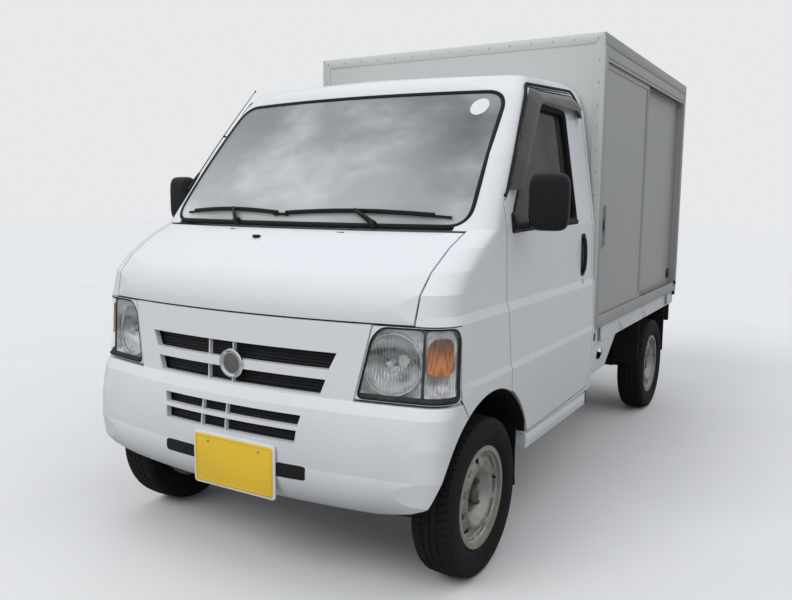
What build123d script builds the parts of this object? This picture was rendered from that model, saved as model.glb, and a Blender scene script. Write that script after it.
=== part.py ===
from build123d import *
import os
from math import cos, radians, sin, sqrt

# Small forward-cab truck with an aluminium box body.
# It is drawn in millimetres with +Z up, the front towards -Y and the left side towards +X.
# Heights count from the ground. Lengths along Y count from the front axle while it is drawn,
# and every piece moves by frame_shift when it is written, so that Y = 0 is at mid-length.

# Overall sizes
overall_length = 3395.0
front_overhang = 455.0
wheelbase = 2420.0
frame_shift = front_overhang - overall_length / 2

# Wheels
tyre_radius = 264.0
tyre_width = 145.0
wheel_track = 1290.0
rim_seat_radius = 156.0
rim_well_radius = 134.0
rim_lip_radius = 168.0
rim_width = 118.0
rim_wall = 4.0
wheel_height = 264.0
wheel_centre_x = wheel_track / 2
hub_bore_radius = 27.0
vent_circle_radius = 106.0
vent_count = 12
spindle_radius = 20.0
spindle_clearance = 0.06
drum_radius = 114.0

# Steering
kingpin_low = (585.0, 200.0)
kingpin_high = (500.0, 700.0)
strut_radius = 22.0
steering_wheel_radius = 185.0
steering_wheel_place = (-330.0, 350.0, 1040.0)
column_tilt = 42.0

# Cab
nose_centre_y = 2500.0
cab_rear = 1100.0
cab_bottom = 296.0
panel_thickness = 21.0
shell_inset = 24.0
cab_wall = 42.0
door_thickness = 52.0
door_seal_gap = 0.3
door_flange = 10.0
door_flange_reach = 14.0
shut_gap = 6.0
arch_radius = 360.0
arch_rear = 310.0
hood_bottom = 870.0
hood_top = 1124.0
hood_hinge_y = -105.0
hood_hinge_z = 1105.0
hood_hinge_x = 230.0
hood_pin_radius = 5.0
hood_pin_clearance = 0.08
hood_edge_thickness = 8.0
lid_room_depth = 66.0
lid_room_wall = 20.0
lid_room_gap = 8.0
hood_half_bottom = 622.0
hood_half_top = 640.0
cab_floor_bottom = 398.0
cab_floor_top = 428.0
firewall_y = -255.0
firewall_thickness = 20.0
wheelhouse_x = 405.0
wheelhouse_wall = 8.0
glass_thickness = 5.0
glass_corner = 75.0
window_corner = 28.0
door_corner = 22.0

# Box body
box_front = 1112.0
box_rear = 2922.0
box_half_width = 732.0
box_bottom = 657.0
box_top = 1932.0
box_wall = 34.0
box_post = 52.0
box_header = 96.0
box_sill = 40.0
side_door_thickness = 20.0
side_door_gap = 7.0
side_door_overlap = 50.0
side_door_outer_x = 722.0
rear_door_thickness = 26.0

# Bed and frame
bed_front = 1128.0
seat_gap = 0.3
bed_top = box_bottom - seat_gap
bed_floor = 22.0
bed_half_width = 718.0
rail_x = 345.0
rail_width = 48.0
rail_height = 80.0
rail_front_z = 318.0
rail_rear_z = 497.0
bed_side_height = bed_top - rail_rear_z - rail_height - seat_gap

os.makedirs("parts", exist_ok=True)


def face_of(points):
    """A flat face bounded by straight lines through (a, b) points."""
    return make_face(Polyline(*points, close=True))


def soft_face(points, radius):
    """A flat face bounded by straight lines, with every corner rounded."""
    face = face_of(points)
    return fillet(face.vertices(), radius)


def prism_x(face, x0, x1):
    """A face drawn as (y, z), extruded across the truck from x0 to x1."""
    return extrude(Plane.YZ.offset(x0) * face, amount=x1 - x0)


def prism_y(face, y0, y1):
    """A face drawn as (x, z), extruded along the truck from y0 to y1."""
    return extrude(Plane.XZ.offset(-y0) * face, amount=y0 - y1)


def prism_z(face, z0, z1):
    """A face drawn as (x, y), extruded upwards from z0 to z1."""
    return extrude(Plane.XY.offset(z0) * face, amount=z1 - z0)


def block(x0, x1, y0, y1, z0, z1):
    """A box between two corners."""
    return Pos((x0 + x1) / 2, (y0 + y1) / 2, (z0 + z1) / 2) * Box(x1 - x0, y1 - y0, z1 - z0)


def rod_x(x0, x1, y, z, radius):
    """A round bar across the truck."""
    return Pos((x0 + x1) / 2, y, z) * Rot(0, 90, 0) * Cylinder(radius, x1 - x0)


def bar(start, end, radius):
    """A round bar between two points."""
    a = Vector(*start)
    b = Vector(*end)
    plane = Plane(origin=a, z_dir=b - a)
    return extrude(plane * Circle(radius), amount=(b - a).length)


def other_side(shape):
    """The same shape on the truck's right side."""
    return mirror(shape, about=Plane.YZ)


def both_sides(shape):
    """The shape with its mirror image, as separate solids."""
    return Compound(children=[*shape.solids(), *other_side(shape).solids()])


# Cab form: a side profile turned about a far vertical axis gives the bowed nose and windscreen,
# and a front profile cuts it to the body sides, their tumblehome and the crowned roof.
# Each row is a place on the outline and how it is passed: a corner where one line or arc ends,
# or the middle of an arc between the corners beside it.
side_outline = [
    # y, z, passed as
    (-405, cab_bottom, "corner"),
    (-438, 340, "arc"),
    (-448, 420, "corner"),
    (-444, 515, "arc"),
    (-428, 600, "corner"),
    (-408, 634, "corner"),
    (-392, hood_bottom - 3, "corner"),
    (-374, 955, "arc"),
    (-318, 1017, "corner"),
    (-216, 1083, "arc"),
    (-104, 1134, "corner"),
    (88, 1381, "arc"),
    (296, 1612, "corner"),
    (320, 1648, "arc"),
    (362, 1673, "corner"),
    (540, 1712, "arc"),
    (780, 1738, "corner"),
    (1400, 1764, "corner"),
    (1400, cab_bottom, "corner"),
]
left_outline = [
    # x, z, passed as
    (712, cab_bottom, "corner"),
    (725, 400, "corner"),
    (736, 640, "corner"),
    (737, 664, "corner"),
    (732, 686, "corner"),
    (731, 866, "corner"),
    (722, 894, "corner"),
    (719, 1130, "corner"),
    (652, 1600, "corner"),
    (630, 1665, "corner"),
    (596, 1704, "arc"),
    (540, 1722, "corner"),
]
crown = [(0, 1745, "arc")]
right_outline = [(-x, z, passed) for x, z, passed in reversed(left_outline)]
front_outline = left_outline + crown + right_outline


def inset_outline(rows, inset):
    """The outline moved inwards, each point along the bisector of the edges that meet there."""
    moved = []
    count = len(rows)
    turn = sum(
        rows[i][0] * rows[(i + 1) % count][1] - rows[(i + 1) % count][0] * rows[i][1]
        for i in range(count)
    )
    side = 1 if turn > 0 else -1
    for i, (a, b, passed) in enumerate(rows):
        before = Vector(a - rows[i - 1][0], b - rows[i - 1][1]).normalized()
        after_row = rows[(i + 1) % count]
        after = Vector(after_row[0] - a, after_row[1] - b).normalized()
        mean = (before + after).normalized()
        inward = Vector(-mean.Y, mean.X) * side
        reach = inset / max(0.5, mean.dot(after))
        moved.append((a + inward.X * reach, b + inward.Y * reach, passed))
    return moved


def outline_face(rows):
    """A flat face bounded by the lines and arcs of an outline table."""
    points = [(a, b) for a, b, passed in rows]
    edges = []
    i = 0
    while i < len(rows):
        if rows[(i + 1) % len(rows)][2] == "arc":
            middle = points[(i + 1) % len(rows)]
            end = points[(i + 2) % len(rows)]
            edges.append(ThreePointArc(points[i], middle, end))
            i += 2
        else:
            edges.append(Line(points[i], points[(i + 1) % len(rows)]))
            i += 1
    return make_face(Curve() + edges)


def height_on(rows, z):
    """The first coordinate of an outline table at height z, arcs taken as their two chords."""
    for (a0, z0, passed), (a1, z1, passed) in zip(rows, rows[1:]):
        if min(z0, z1) <= z <= max(z0, z1) and z0 != z1:
            return a0 + (a1 - a0) * (z - z0) / (z1 - z0)
    return rows[0][0] if z < rows[0][1] else rows[-1][0]


# Plan rounding of the nose corners by height
corner_rounding = [
    # z, radius
    (cab_bottom - 10, 58),
    (345, 62),
    (420, 70),
    (515, 82),
    (600, 92),
    (634, 96),
    (686, 98),
    (867, 104),
    (894, 104),
    (955, 108),
    (1017, 112),
    (1083, 112),
    (1134, 100),
    (1381, 80),
    (1612, 74),
    (1673, 70),
    (1764, 70),
]
rounding_depth_limit = 40.0
rounding_bite = 0.5


def corner_section(z, radius, side_rows, left_rows, inset):
    """The plan of the cab at height z, with its corners rounded inside the nose and the sides."""
    front_y = height_on(side_rows, z)
    half_width = height_on(left_rows, z)
    nose_radius = nose_centre_y - front_y
    radius = radius - inset
    centre_x = half_width - radius
    centre_y = nose_centre_y - sqrt((nose_radius - radius) ** 2 - centre_x ** 2)
    start = Vector(centre_x, centre_y - nose_centre_y).normalized() * radius
    end = Vector(radius, 0)
    middle = (start + end).normalized() * radius
    bite = middle.normalized() * rounding_bite
    right_side = []
    for point in (start, middle, end):
        right_side.append((centre_x + point.X - bite.X, centre_y + point.Y - bite.Y))
    left_side = [(-x, y) for x, y in right_side]
    nose = (0, front_y - 130)
    rear_left = (half_width + 90, 2400)
    rear_right = (-half_width - 90, 2400)
    edges = [
        Line(nose, right_side[0]),
        ThreePointArc(*right_side),
        Line(right_side[2], rear_left),
        Line(rear_left, rear_right),
        Line(rear_right, left_side[2]),
        ThreePointArc(left_side[2], left_side[1], left_side[0]),
        Line(left_side[0], nose),
    ]
    return Plane.XY.offset(z) * make_face(Curve() + edges)


def cab_form(inset, rounded=True):
    """The cab's closed outer form, or the form that lies inset below its surface."""
    side_rows = inset_outline(side_outline, inset)
    side = outline_face(side_rows)
    front = outline_face(inset_outline(front_outline, inset))
    axis = Axis((0, nose_centre_y, 0), (0, 0, 1))
    turned = revolve(Plane.YZ * side, axis=axis, revolution_arc=70)
    turned = turned.rotate(axis, -35)
    sharp = turned & prism_y(front, -600, cab_rear)
    if inset > rounding_depth_limit or not rounded:
        return sharp
    left_rows = inset_outline(front_outline, inset)[:len(left_outline)]
    sections = [
        corner_section(z, radius, side_rows[:-1], left_rows, inset) for z, radius in corner_rounding
    ]
    return sharp & loft(sections, ruled=True)


# Outlines that split the cab form into its panels, as (y, z) from the side
door_outline = [
    (128, 868),
    (118, 1222),
    (150, 1234),
    (453, 1628),
    (985, 1664),
    (1060, 1572),
    (1066, 1100),
    (1078, 863),
    (1078, 560),
    (1069, 418),
    (arch_rear + shut_gap, 404),
    (163, 540),
    (163, 610),
]
window_outline = [
    (184, 1132),
    (852, 1144),
    (829, 1574),
    (520, 1574),
    (186, 1176),
]
# and as (x, z) from the front
hood_outline = [
    (-hood_half_bottom, hood_bottom),
    (hood_half_bottom, hood_bottom),
    (hood_half_top, hood_top),
    (-hood_half_top, hood_top),
]
glass_low = (646.0, 1138.0)
glass_high = (604.0, 1613.0)
glass_rebate = 26.0
glass_gap = 4.0
glass_outline = [(-glass_low[0], glass_low[1]), glass_low, glass_high, (-glass_high[0], glass_high[1])]
lamp_inner_low = (448.0, 640.0)
lamp_inner_high = (498.0, 864.0)
lamp_rear_y = -228.0
bumper_top = 632.0
fender_top = 1230.0

arch_cut = (rod_x(wheelhouse_x, 800, 0, wheel_height, arch_radius) & block(
    wheelhouse_x, 800, -arch_radius, arch_rear, -200, 700
))
arch_cut += block(wheelhouse_x, 800, -arch_radius + 8, arch_rear, 0, wheel_height)


def widened(points, amount, radius=0):
    """The outline of straight lines moved outwards all round, its corners rounded from radius."""
    moved = [(a, b) for a, b, passed in inset_outline([(*p, "corner") for p in points], -amount)]
    return soft_face(moved, radius + amount) if radius else face_of(moved)


form = cab_form(0)
form_panel = cab_form(panel_thickness)
panel_layer = form - form_panel

# Service lid of the nose
hood_prism = prism_y(face_of(hood_outline), -500, 200)
hood_clear = prism_y(widened(hood_outline, lid_room_gap), -500, 200)
hood = panel_layer & hood_prism
hood -= cab_form(hood_edge_thickness, rounded=False) & block(-700, 700, -170, 200, 1050, 1200)

# Bumper moulding: the full width below, the grille surround between the lamps above
grille_slots = [
    # z low, z high, half width low, half width high
    (719, 772, 362, 388),
    (641, 689, 336, 354),
    (543, 577, 278, 287),
    (491, 530, 272, 276),
    (378, 410, 268, 272),
]
grille_bar_width = 4.0
surround = face_of([
    (-lamp_inner_low[0] + 3, bumper_top - 2),
    (lamp_inner_low[0] - 3, bumper_top - 2),
    (lamp_inner_high[0] - 3, hood_bottom - shut_gap),
    (-lamp_inner_high[0] + 3, hood_bottom - shut_gap),
])
bumper_face = face_of([(-740, 290), (740, 290), (740, bumper_top), (-740, bumper_top)])
bumper_side = face_of([(-500, 290), (-60, 290), (-60, 560), (-165, 584), (-236, bumper_top), (-500, bumper_top)])
bumper_zone = (prism_y(bumper_face, -500, -60) & prism_x(bumper_side, -745, 745)) + prism_y(surround, -500, -200)
bumper = panel_layer & bumper_zone
for z_low, z_high, half_low, half_high in grille_slots:
    slot = face_of([(-half_low, z_low), (half_low, z_low), (half_high, z_high), (-half_high, z_high)])
    bumper -= prism_y(slot, -500, -300)
tie_layer = cab_form(3, rounded=False) - cab_form(panel_thickness - 3, rounded=False)
for z_low, z_high, half_low, half_high in grille_slots[:4]:
    for x in (0.0, -105.0):
        tie = block(x - grille_bar_width / 2, x + grille_bar_width / 2, -500, -300, z_low - 2, z_high + 2)
        bumper += tie & tie_layer
bumper -= arch_cut
bumper -= other_side(arch_cut)

# Lamps in the nose corners
lamp_zone = prism_y(face_of([
    lamp_inner_low,
    (745, lamp_inner_low[1]),
    (745, lamp_inner_high[1]),
    lamp_inner_high,
]), -500, lamp_rear_y)
lamp_lens = (form - cab_form(4)) & lamp_zone
lamp_body = (cab_form(8) - cab_form(110)) & lamp_zone
bowl = Pos(560, -400, 752) * Sphere(96)
corner_bowl = Pos(668, -322, 752) * Sphere(58)
lamp_body = (lamp_body - bowl - corner_bowl) & block(300, 760, -500, firewall_y, 500, 900)

# Front corner panels between the lid, the lamps, the bumper and the doors
fender_side = [
    (-500, 560),
    (163 - shut_gap, 560),
    (163 - shut_gap, 610),
    (128 - shut_gap, 868),
    (118 - shut_gap, 1216),
    (110, fender_top),
    (-500, fender_top),
]
fender_face = face_of([
    (hood_half_bottom + shut_gap, 560),
    (760, 560),
    (760, fender_top),
    (glass_low[0] - 46, fender_top),
    (glass_low[0] - 46, hood_top + shut_gap),
    (hood_half_top + shut_gap, hood_top + shut_gap),
    (hood_half_bottom + shut_gap, hood_bottom),
])
fender = panel_layer & (prism_x(face_of(fender_side), 300, 760) & prism_y(fender_face, -500, 200))
lamp_hole = prism_y(face_of([
    (lamp_inner_low[0] - 60, 560),
    (745, 560),
    (745, lamp_inner_high[1] + 3),
    (lamp_inner_high[0] - 60, lamp_inner_high[1] + 3),
]), -500, lamp_rear_y + 3)
fender = fender - lamp_hole - bumper_zone - arch_cut
fender -= prism_y(widened(glass_outline, glass_gap, glass_corner), -500, 500)
front_fenders = both_sides(fender)

# Cab shell: floor, firewall, pillars, roof and rear wall
glass_zone = prism_y(widened(glass_outline, glass_gap / 2, glass_corner), -500, 500)
glass_opening = prism_y(widened(glass_outline, -glass_rebate, glass_corner), -500, 500)
door_prism = prism_x(soft_face(door_outline, door_corner), 560, 760) - rod_x(560, 760, 0, wheel_height, arch_radius + 5)
door_zone = prism_x(widened(door_outline, shut_gap, door_corner), 480, 760)
door_zone &= form - cab_form(door_thickness + door_seal_gap)
arch_room = rod_x(300, 760, 0, wheel_height, arch_radius + door_flange_reach)
way_in = prism_x(widened(door_outline, -door_flange_reach), 480, 760) - arch_room
way_in &= block(400, 800, 0, 1200, cab_floor_top, 1800)
flange = cab_form(cab_wall) - cab_form(door_thickness + door_seal_gap + door_flange)
flange &= prism_x(widened(door_outline, shut_gap + 16), 480, 760)
flange -= rod_x(300, 760, 0, wheel_height, arch_radius + wheelhouse_wall)

nose_zone = prism_x(face_of([(-600, 0), (163 - shut_gap, 0), *fender_side[2:-1], (-600, fender_top)]), -760, 760)
shell_front = cab_form(shell_inset) & block(-760, 760, firewall_y, 170, cab_floor_bottom, fender_top + 200)
shell_form = (form - nose_zone) + (shell_front & nose_zone)
shell_form &= block(-760, 760, firewall_y, cab_rear, cab_floor_bottom, 1800)
lid_room = hood_clear & (form - cab_form(shell_inset + lid_room_depth))
shell_form -= lid_room
inside = cab_form(cab_wall) & block(
    -760, 760, firewall_y + firewall_thickness, cab_rear - 26, cab_floor_top, 1800
)
inside -= hood_clear & (form - cab_form(shell_inset + lid_room_depth + lid_room_wall))
cab_shell = shell_form - inside
for side in (1, -1):
    frame_lip = flange if side == 1 else other_side(flange)
    cab_shell += frame_lip & block(-800, 800, 0, 1200, cab_floor_bottom, 1800)
    cab_shell -= door_zone if side == 1 else other_side(door_zone)
    cab_shell -= way_in if side == 1 else other_side(way_in)
    house = rod_x(wheelhouse_x - wheelhouse_wall, 720, 0, wheel_height, arch_radius + wheelhouse_wall)
    house &= block(wheelhouse_x - wheelhouse_wall, 664, -400, arch_rear + wheelhouse_wall, cab_floor_bottom, 700)
    if side == -1:
        house = other_side(house)
    cab_shell += house & shell_form
for side in (1, -1):
    arch = arch_cut if side == 1 else other_side(arch_cut)
    cab_shell -= arch
cab_shell -= glass_opening
cab_shell -= glass_zone & (form - cab_form(glass_thickness + 3))
rear_window_half = (470.0, 1190.0, 1500.0)
cab_shell -= block(-rear_window_half[0], rear_window_half[0], cab_rear - 60, cab_rear + 10, *rear_window_half[1:])
sill = block(668, 727, arch_rear + 8, 1030, 342, 394)
cab_shell += sill
cab_shell += other_side(sill)
sill_web = block(640, 690, arch_rear + 10, 1030, 372, cab_floor_bottom + 2)
cab_shell += sill_web
cab_shell += other_side(sill_web)

# Lid hinges: a pin on a stand in the nose for each ear of the lid
hinge_boss_radius = hood_pin_radius + 5
hinge_clear = 5.0
for side in (1, -1):
    x0, x1 = sorted((side * (hood_hinge_x + 4 + seat_gap), side * (hood_hinge_x + 14)))
    stand = block(x0, x1, hood_hinge_y - 8, hood_hinge_y + 8, hood_hinge_z - 90, hood_hinge_z)
    stand = stand + rod_x(x0, x1, hood_hinge_y, hood_hinge_z, hinge_boss_radius)
    pin_ends = sorted((side * (hood_hinge_x - 6), side * (hood_hinge_x + 6)))
    stand = stand + rod_x(*pin_ends, hood_hinge_y, hood_hinge_z, hood_pin_radius)
    cab_shell += stand - cab_form(shell_inset + lid_room_depth + 10)
    x0, x1 = sorted((side * (hood_hinge_x - 11), side * (hood_hinge_x + 14 + hinge_clear)))
    hood -= block(
        x0, x1, hood_hinge_y - 30, hood_hinge_y + 60, hood_hinge_z - 80, hood_hinge_z + hinge_boss_radius + hinge_clear
    )
    x0, x1 = sorted((side * (hood_hinge_x - 4), side * (hood_hinge_x + 4)))
    ear = block(x0, x1, hood_hinge_y - 60, hood_hinge_y, hood_hinge_z - 14, hood_hinge_z + 30)
    ear = ear + rod_x(x0, x1, hood_hinge_y, hood_hinge_z, hinge_boss_radius)
    ear = ear & cab_form(6, rounded=False) & prism_y(face_of(hood_outline), -500, 200)
    hood += ear - rod_x(x0 - 1, x1 + 1, hood_hinge_y, hood_hinge_z, hood_pin_radius + hood_pin_clearance)

windscreen = (cab_form(2.5) - cab_form(2.5 + glass_thickness)) & prism_y(soft_face(glass_outline, glass_corner), -500, 500)
rear_window = block(
    -rear_window_half[0] + seat_gap, rear_window_half[0] - seat_gap, cab_rear - 18, cab_rear - 13,
    rear_window_half[1] + seat_gap, rear_window_half[2] - seat_gap,
)
cab_glass = Compound(children=[*windscreen.solids(), *rear_window.solids()])

# Doors, each as thick as the whole door, with the window cut and its glass set inside the frame
window_prism = prism_x(soft_face(window_outline, window_corner), 500, 800)
door_left = ((form - cab_form(door_thickness)) & door_prism) - window_prism
door_glass_layer = cab_form(20, rounded=False) - cab_form(20 + glass_thickness, rounded=False)
door_left_glass = door_glass_layer & window_prism & block(500, 800, 0, 1000, 1000, 1700)

mirror_head = Pos(828, 205, 1225) * Rot(0, 0, 10) * fillet(Box(150, 70, 232).edges(), 22)
mirror_arm = bar((718, 190, 1158), (775, 196, 1152), 11)
mirror_arm += bar((775, 196, 1152), (812, 204, 1180), 11)
mirror_foot = block(712, 728, 168, 222, 1136, 1180)
handle = Pos(721, 945, 1002) * Box(16, 32, 156)
mirror_left = (mirror_head + mirror_arm + mirror_foot) - form
handle -= form
door_left_fittings = Compound(children=[*mirror_left.solids(), *handle.solids()])

# Inside of the cab
dash_section = [
    (-118, 930),
    (-30, 1040),
    (60, 1098),
    (150, 1084),
    (188, 1010),
    (170, 905),
    (60, 842),
    (-70, 862),
]
dash_end = 676.5
dash_side = 650.0
dashboard = prism_x(face_of(dash_section), -dash_side, dash_side)
dashboard += prism_x(face_of(dash_section), -dash_end, dash_end) & block(-700, 700, -300, 88, 800, 1200)
hub_depth = 36.0
column_down = Vector(0, -sin(radians(column_tilt)), -cos(radians(column_tilt)))
wheel_point = Vector(*steering_wheel_place)
column_top = wheel_point + column_down * (hub_depth + seat_gap)
column_foot = wheel_point + column_down * 330
dashboard &= inside
dashboard += bar(tuple(column_top), tuple(column_foot), 30)
column_bracket = face_of([(80, 850), (90, 880), (170, 915), (215, 905), (150, 800)])
dashboard += prism_x(column_bracket, steering_wheel_place[0] - 45, steering_wheel_place[0] + 45)
lid_room_clear = prism_y(widened(hood_outline, lid_room_gap + seat_gap), -500, 200)
dashboard -= lid_room_clear & (form - cab_form(shell_inset + lid_room_depth + lid_room_wall + seat_gap))
steering_plane = Plane(origin=wheel_point, x_dir=(1, 0, 0), z_dir=-column_down)
steering_wheel = steering_plane * Torus(steering_wheel_radius - 13, 13)
steering_wheel += steering_plane * Pos(0, 0, -hub_depth / 2) * Cylinder(42, hub_depth)
for turn in (0, 180, 270):
    steering_wheel += steering_plane * Rot(0, 0, turn) * Pos(100, 0, -8) * Box(150, 26, 12)

seat_base_top = 690.0
cab_shell += block(-632, 632, 600, 620, cab_floor_top - 1, seat_base_top)
cab_shell += block(-632, 632, 600, cab_rear - 20, seat_base_top - 16, seat_base_top)
seat_section = [
    # y, z of one seat seen from the side: cushion, back and head rest in one outline
    (540, seat_base_top),
    (940, seat_base_top),
    (1060, 1290),
    (1062, 1450),
    (1000, 1450),
    (985, 1290),
    (905, 830),
    (560, 812),
    (530, 770),
]
seat_half_width = 245.0
seat_x = 330.0
seat = prism_x(face_of(seat_section), seat_x - seat_half_width, seat_x + seat_half_width)
seat -= block(0, seat_x - 130, 900, 1100, 1300, 1500) + block(seat_x + 130, 700, 900, 1100, 1300, 1500)
seats = both_sides(seat)

# Wipers parked along the foot of the windscreen
def on_screen(x, z, lift):
    """A point on the windscreen at x and z, lifted off the glass towards the front."""
    share = (z - 1134) / (1612 - 1134)
    y = -104 + share * 400 - 18 * 4 * share * (1 - share) * 0.6
    return (x, nose_centre_y - sqrt((nose_centre_y - y) ** 2 - x * x) - lift, z + lift * 0.7)


wiper_table = [
    # pivot x, blade start x, blade end x
    (330, -85, 585),
    (-250, -560, -20),
]
wiper_floor = cab_form(2.5 - seat_gap, rounded=False)
wiper_parts = []
for pivot_x, start_x, end_x in wiper_table:
    middle_x = (start_x + end_x) / 2
    blade = bar(on_screen(start_x, 1176, 7), on_screen(middle_x, 1180, 7), 5)
    blade += bar(on_screen(middle_x, 1180, 7), on_screen(end_x, 1176, 7), 5)
    blade += bar(on_screen(pivot_x, 1142, 12), on_screen(middle_x, 1180, 9), 6)
    blade += bar(on_screen(pivot_x, 1142, -8), on_screen(pivot_x, 1142, 16), 9)
    wiper_parts += (blade - wiper_floor).solids()
wipers = Compound(children=wiper_parts)

# Nose compartment: radiator core and fins behind the grille
grille_core = block(-385, 385, -346, -300, 440, 780)
grille_core += block(-300, 300, -384, -346, 470, 600)
for x in (-312, 272):
    grille_core += block(x, x + 40, -322, -300, rail_front_z + 60, 441)

# Frame: two rails that rise behind the cab, with cross members between them
def rail_outline(height):
    """The rail seen from the side as (y, z)."""
    return [
        (-330, rail_front_z),
        (cab_rear + 20, rail_front_z),
        (cab_rear + 280, rail_rear_z),
        (2880, rail_rear_z),
        (2880, rail_rear_z + height),
        (cab_rear + 270, rail_rear_z + height),
        (cab_rear + 10, rail_front_z + height),
        (-330, rail_front_z + height),
    ]


rail = prism_x(face_of(rail_outline(rail_height)), rail_x - rail_width / 2, rail_x + rail_width / 2)
cross_members = [
    # y, z of the bottom, height
    (-300, rail_front_z, 60),
    (250, rail_front_z, 50),
    (900, rail_front_z, 60),
    (1420, rail_rear_z, 60),
    (2120, rail_rear_z, 60),
    (2840, rail_rear_z, 70),
]
cross_half = rail_x - rail_width / 2 - seat_gap
cross_bars = [block(-cross_half, cross_half, y - 22, y + 22, z, z + height) for y, z, height in cross_members]

tow_eye_radius = 14.0
tow_eye_centre = (2886.0, 370.0)
tow_eye = block(244, 256, 2861, 2908, 346, rail_rear_z + 60)
tow_eye -= rod_x(230, 270, *tow_eye_centre, tow_eye_radius)

cross_bars[-1] = cross_bars[-1] + tow_eye
frame_parts = [*both_sides(rail).solids()]
for cross_bar in cross_bars:
    frame_parts += cross_bar.solids()
frame_rails = Compound(children=frame_parts)

engine_block = block(-255, 255, 1500, 2040, 240, 470)
engine_block += block(-200, 200, 1560, 1960, 205, 240)
for x in (1, -1):
    for y in (1580, 1840):
        engine_block += block(min(x * 250, x * 300), max(x * 250, x * 300), y, y + 50, 440, rail_rear_z)
        engine_block += block(min(x * 290, x * 360), max(x * 290, x * 360), y, y + 50, 470, rail_rear_z)

fuel_tank = block(-660, -400, 1210, 1680, 330, 540)
fuel_tank += block(-600, -570, 1210, 1680, 540, 577)
fuel_tank += block(-460, -430, 1210, 1680, 540, 577)

# Running gear
def axis_point(z):
    """A point on the left steering axis at height z."""
    share = (z - kingpin_low[1]) / (kingpin_high[1] - kingpin_low[1])
    return (kingpin_low[0] + share * (kingpin_high[0] - kingpin_low[0]), 0, z)


strut_top_z = 606.0
knuckle_left = bar(axis_point(252), axis_point(strut_top_z), strut_radius)
knuckle_left += bar(axis_point(550), axis_point(556), 48)
knuckle_left += bar(axis_point(188), axis_point(262), 20)
knuckle_left += block(574, 600, -42, 42, 215, 312)
knuckle_left += rod_x(574, wheel_centre_x + 7, 0, wheel_height, spindle_radius)
front_suspension = bar(axis_point(strut_top_z + 0.4), axis_point(wheel_height + arch_radius - 2), 40)
front_suspension += bar(axis_point(166), axis_point(187.6), 21)
front_suspension += prism_z(
    face_of([(330, -60), (330, 150), (420, 60), (592, 24), (592, -24), (420, -60)]), 158, 174
)
front_suspension += block(321, 345, -60, 150, 158, rail_front_z)
front_suspension &= rod_x(300, 800, 0, wheel_height, arch_radius - seat_gap)
front_suspension_both = both_sides(front_suspension)

leaf_half = 480.0
leaf_x = rail_x
rear_y = wheelbase
rear_axle = rod_x(-(wheel_centre_x + 7), wheel_centre_x + 7, rear_y, wheel_height, spindle_radius)
rear_axle += rod_x(-585, 585, rear_y, wheel_height, 34)
rear_axle += Pos(0, rear_y, wheel_height) * fillet(Box(220, 190, 190).edges(), 60)
leaf_outline = [
    (rear_y - leaf_half, 398),
    (rear_y - 250, 330),
    (rear_y, wheel_height + 34),
    (rear_y + 250, 330),
    (rear_y + leaf_half, 398),
    (rear_y + leaf_half, 420),
    (rear_y + 250, 350),
    (rear_y, wheel_height + 66),
    (rear_y - 250, 350),
    (rear_y - leaf_half, 420),
]
for side in (1, -1):
    rear_axle += prism_x(face_of(leaf_outline), side * leaf_x - 24, side * leaf_x + 24)
    for y in (rear_y - leaf_half, rear_y + leaf_half - 24):
        rear_axle += block(side * leaf_x - 24, side * leaf_x + 24, y, y + 24, 398, rail_rear_z)
    rear_axle += block(side * leaf_x - 30, side * leaf_x + 30, rear_y - 60, rear_y + 60, 222, 345)

exhaust = bar((-120, 2040.5, 310), (-120, 2200, 390), 20) - engine_block
exhaust += bar((-120, 2200, 390), (-120, 2620, 390), 20)
exhaust += rod_x(-260, 200, 2690, 390, 82)
exhaust += bar((-220, 2690, 350), (-220, 2900, 350), 16)
exhaust += block(-60, -40, 2660, 2720, 440, rail_rear_z + 20)
exhaust += block(-60, -40, 2690, 2818, rail_rear_z, rail_rear_z + 20)

# Wheels, drawn about the wheel's own axis with x = 0 in its middle plane, outside towards +X
half_rim = rim_width / 2
barrel = [
    # x, r of the outer surface
    (-half_rim, rim_lip_radius),
    (-half_rim + rim_wall, rim_lip_radius),
    (-half_rim + rim_wall, rim_seat_radius),
    (-38, rim_seat_radius - 2),
    (-30, rim_well_radius),
    (20, rim_well_radius),
    (30, rim_seat_radius - 2),
    (half_rim - rim_wall, rim_seat_radius),
    (half_rim - rim_wall, rim_lip_radius),
    (half_rim, rim_lip_radius),
]
barrel_inner = [
    (half_rim, rim_seat_radius - rim_wall),
    (32, rim_seat_radius - 2 - rim_wall),
    (22, rim_well_radius - rim_wall),
    (-32, rim_well_radius - rim_wall),
    (-40, rim_seat_radius - 2 - rim_wall),
    (-half_rim, rim_seat_radius - rim_wall),
]
disc = [
    # x, r from the hub hole outwards, then back along the inner face
    (14, hub_bore_radius),
    (14, 74),
    (36, 90),
    (38, 98),
    (22, rim_well_radius - 4),
    (16, rim_well_radius - 4),
    (32, 97),
    (30, 92),
    (9, 76),
    (9, hub_bore_radius),
]
wheel_axis = Axis((0, 0, 0), (1, 0, 0))


def turned_x(points):
    """An (x, r) outline turned about the wheel's axis."""
    return revolve(face_of(points), axis=wheel_axis)


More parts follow.
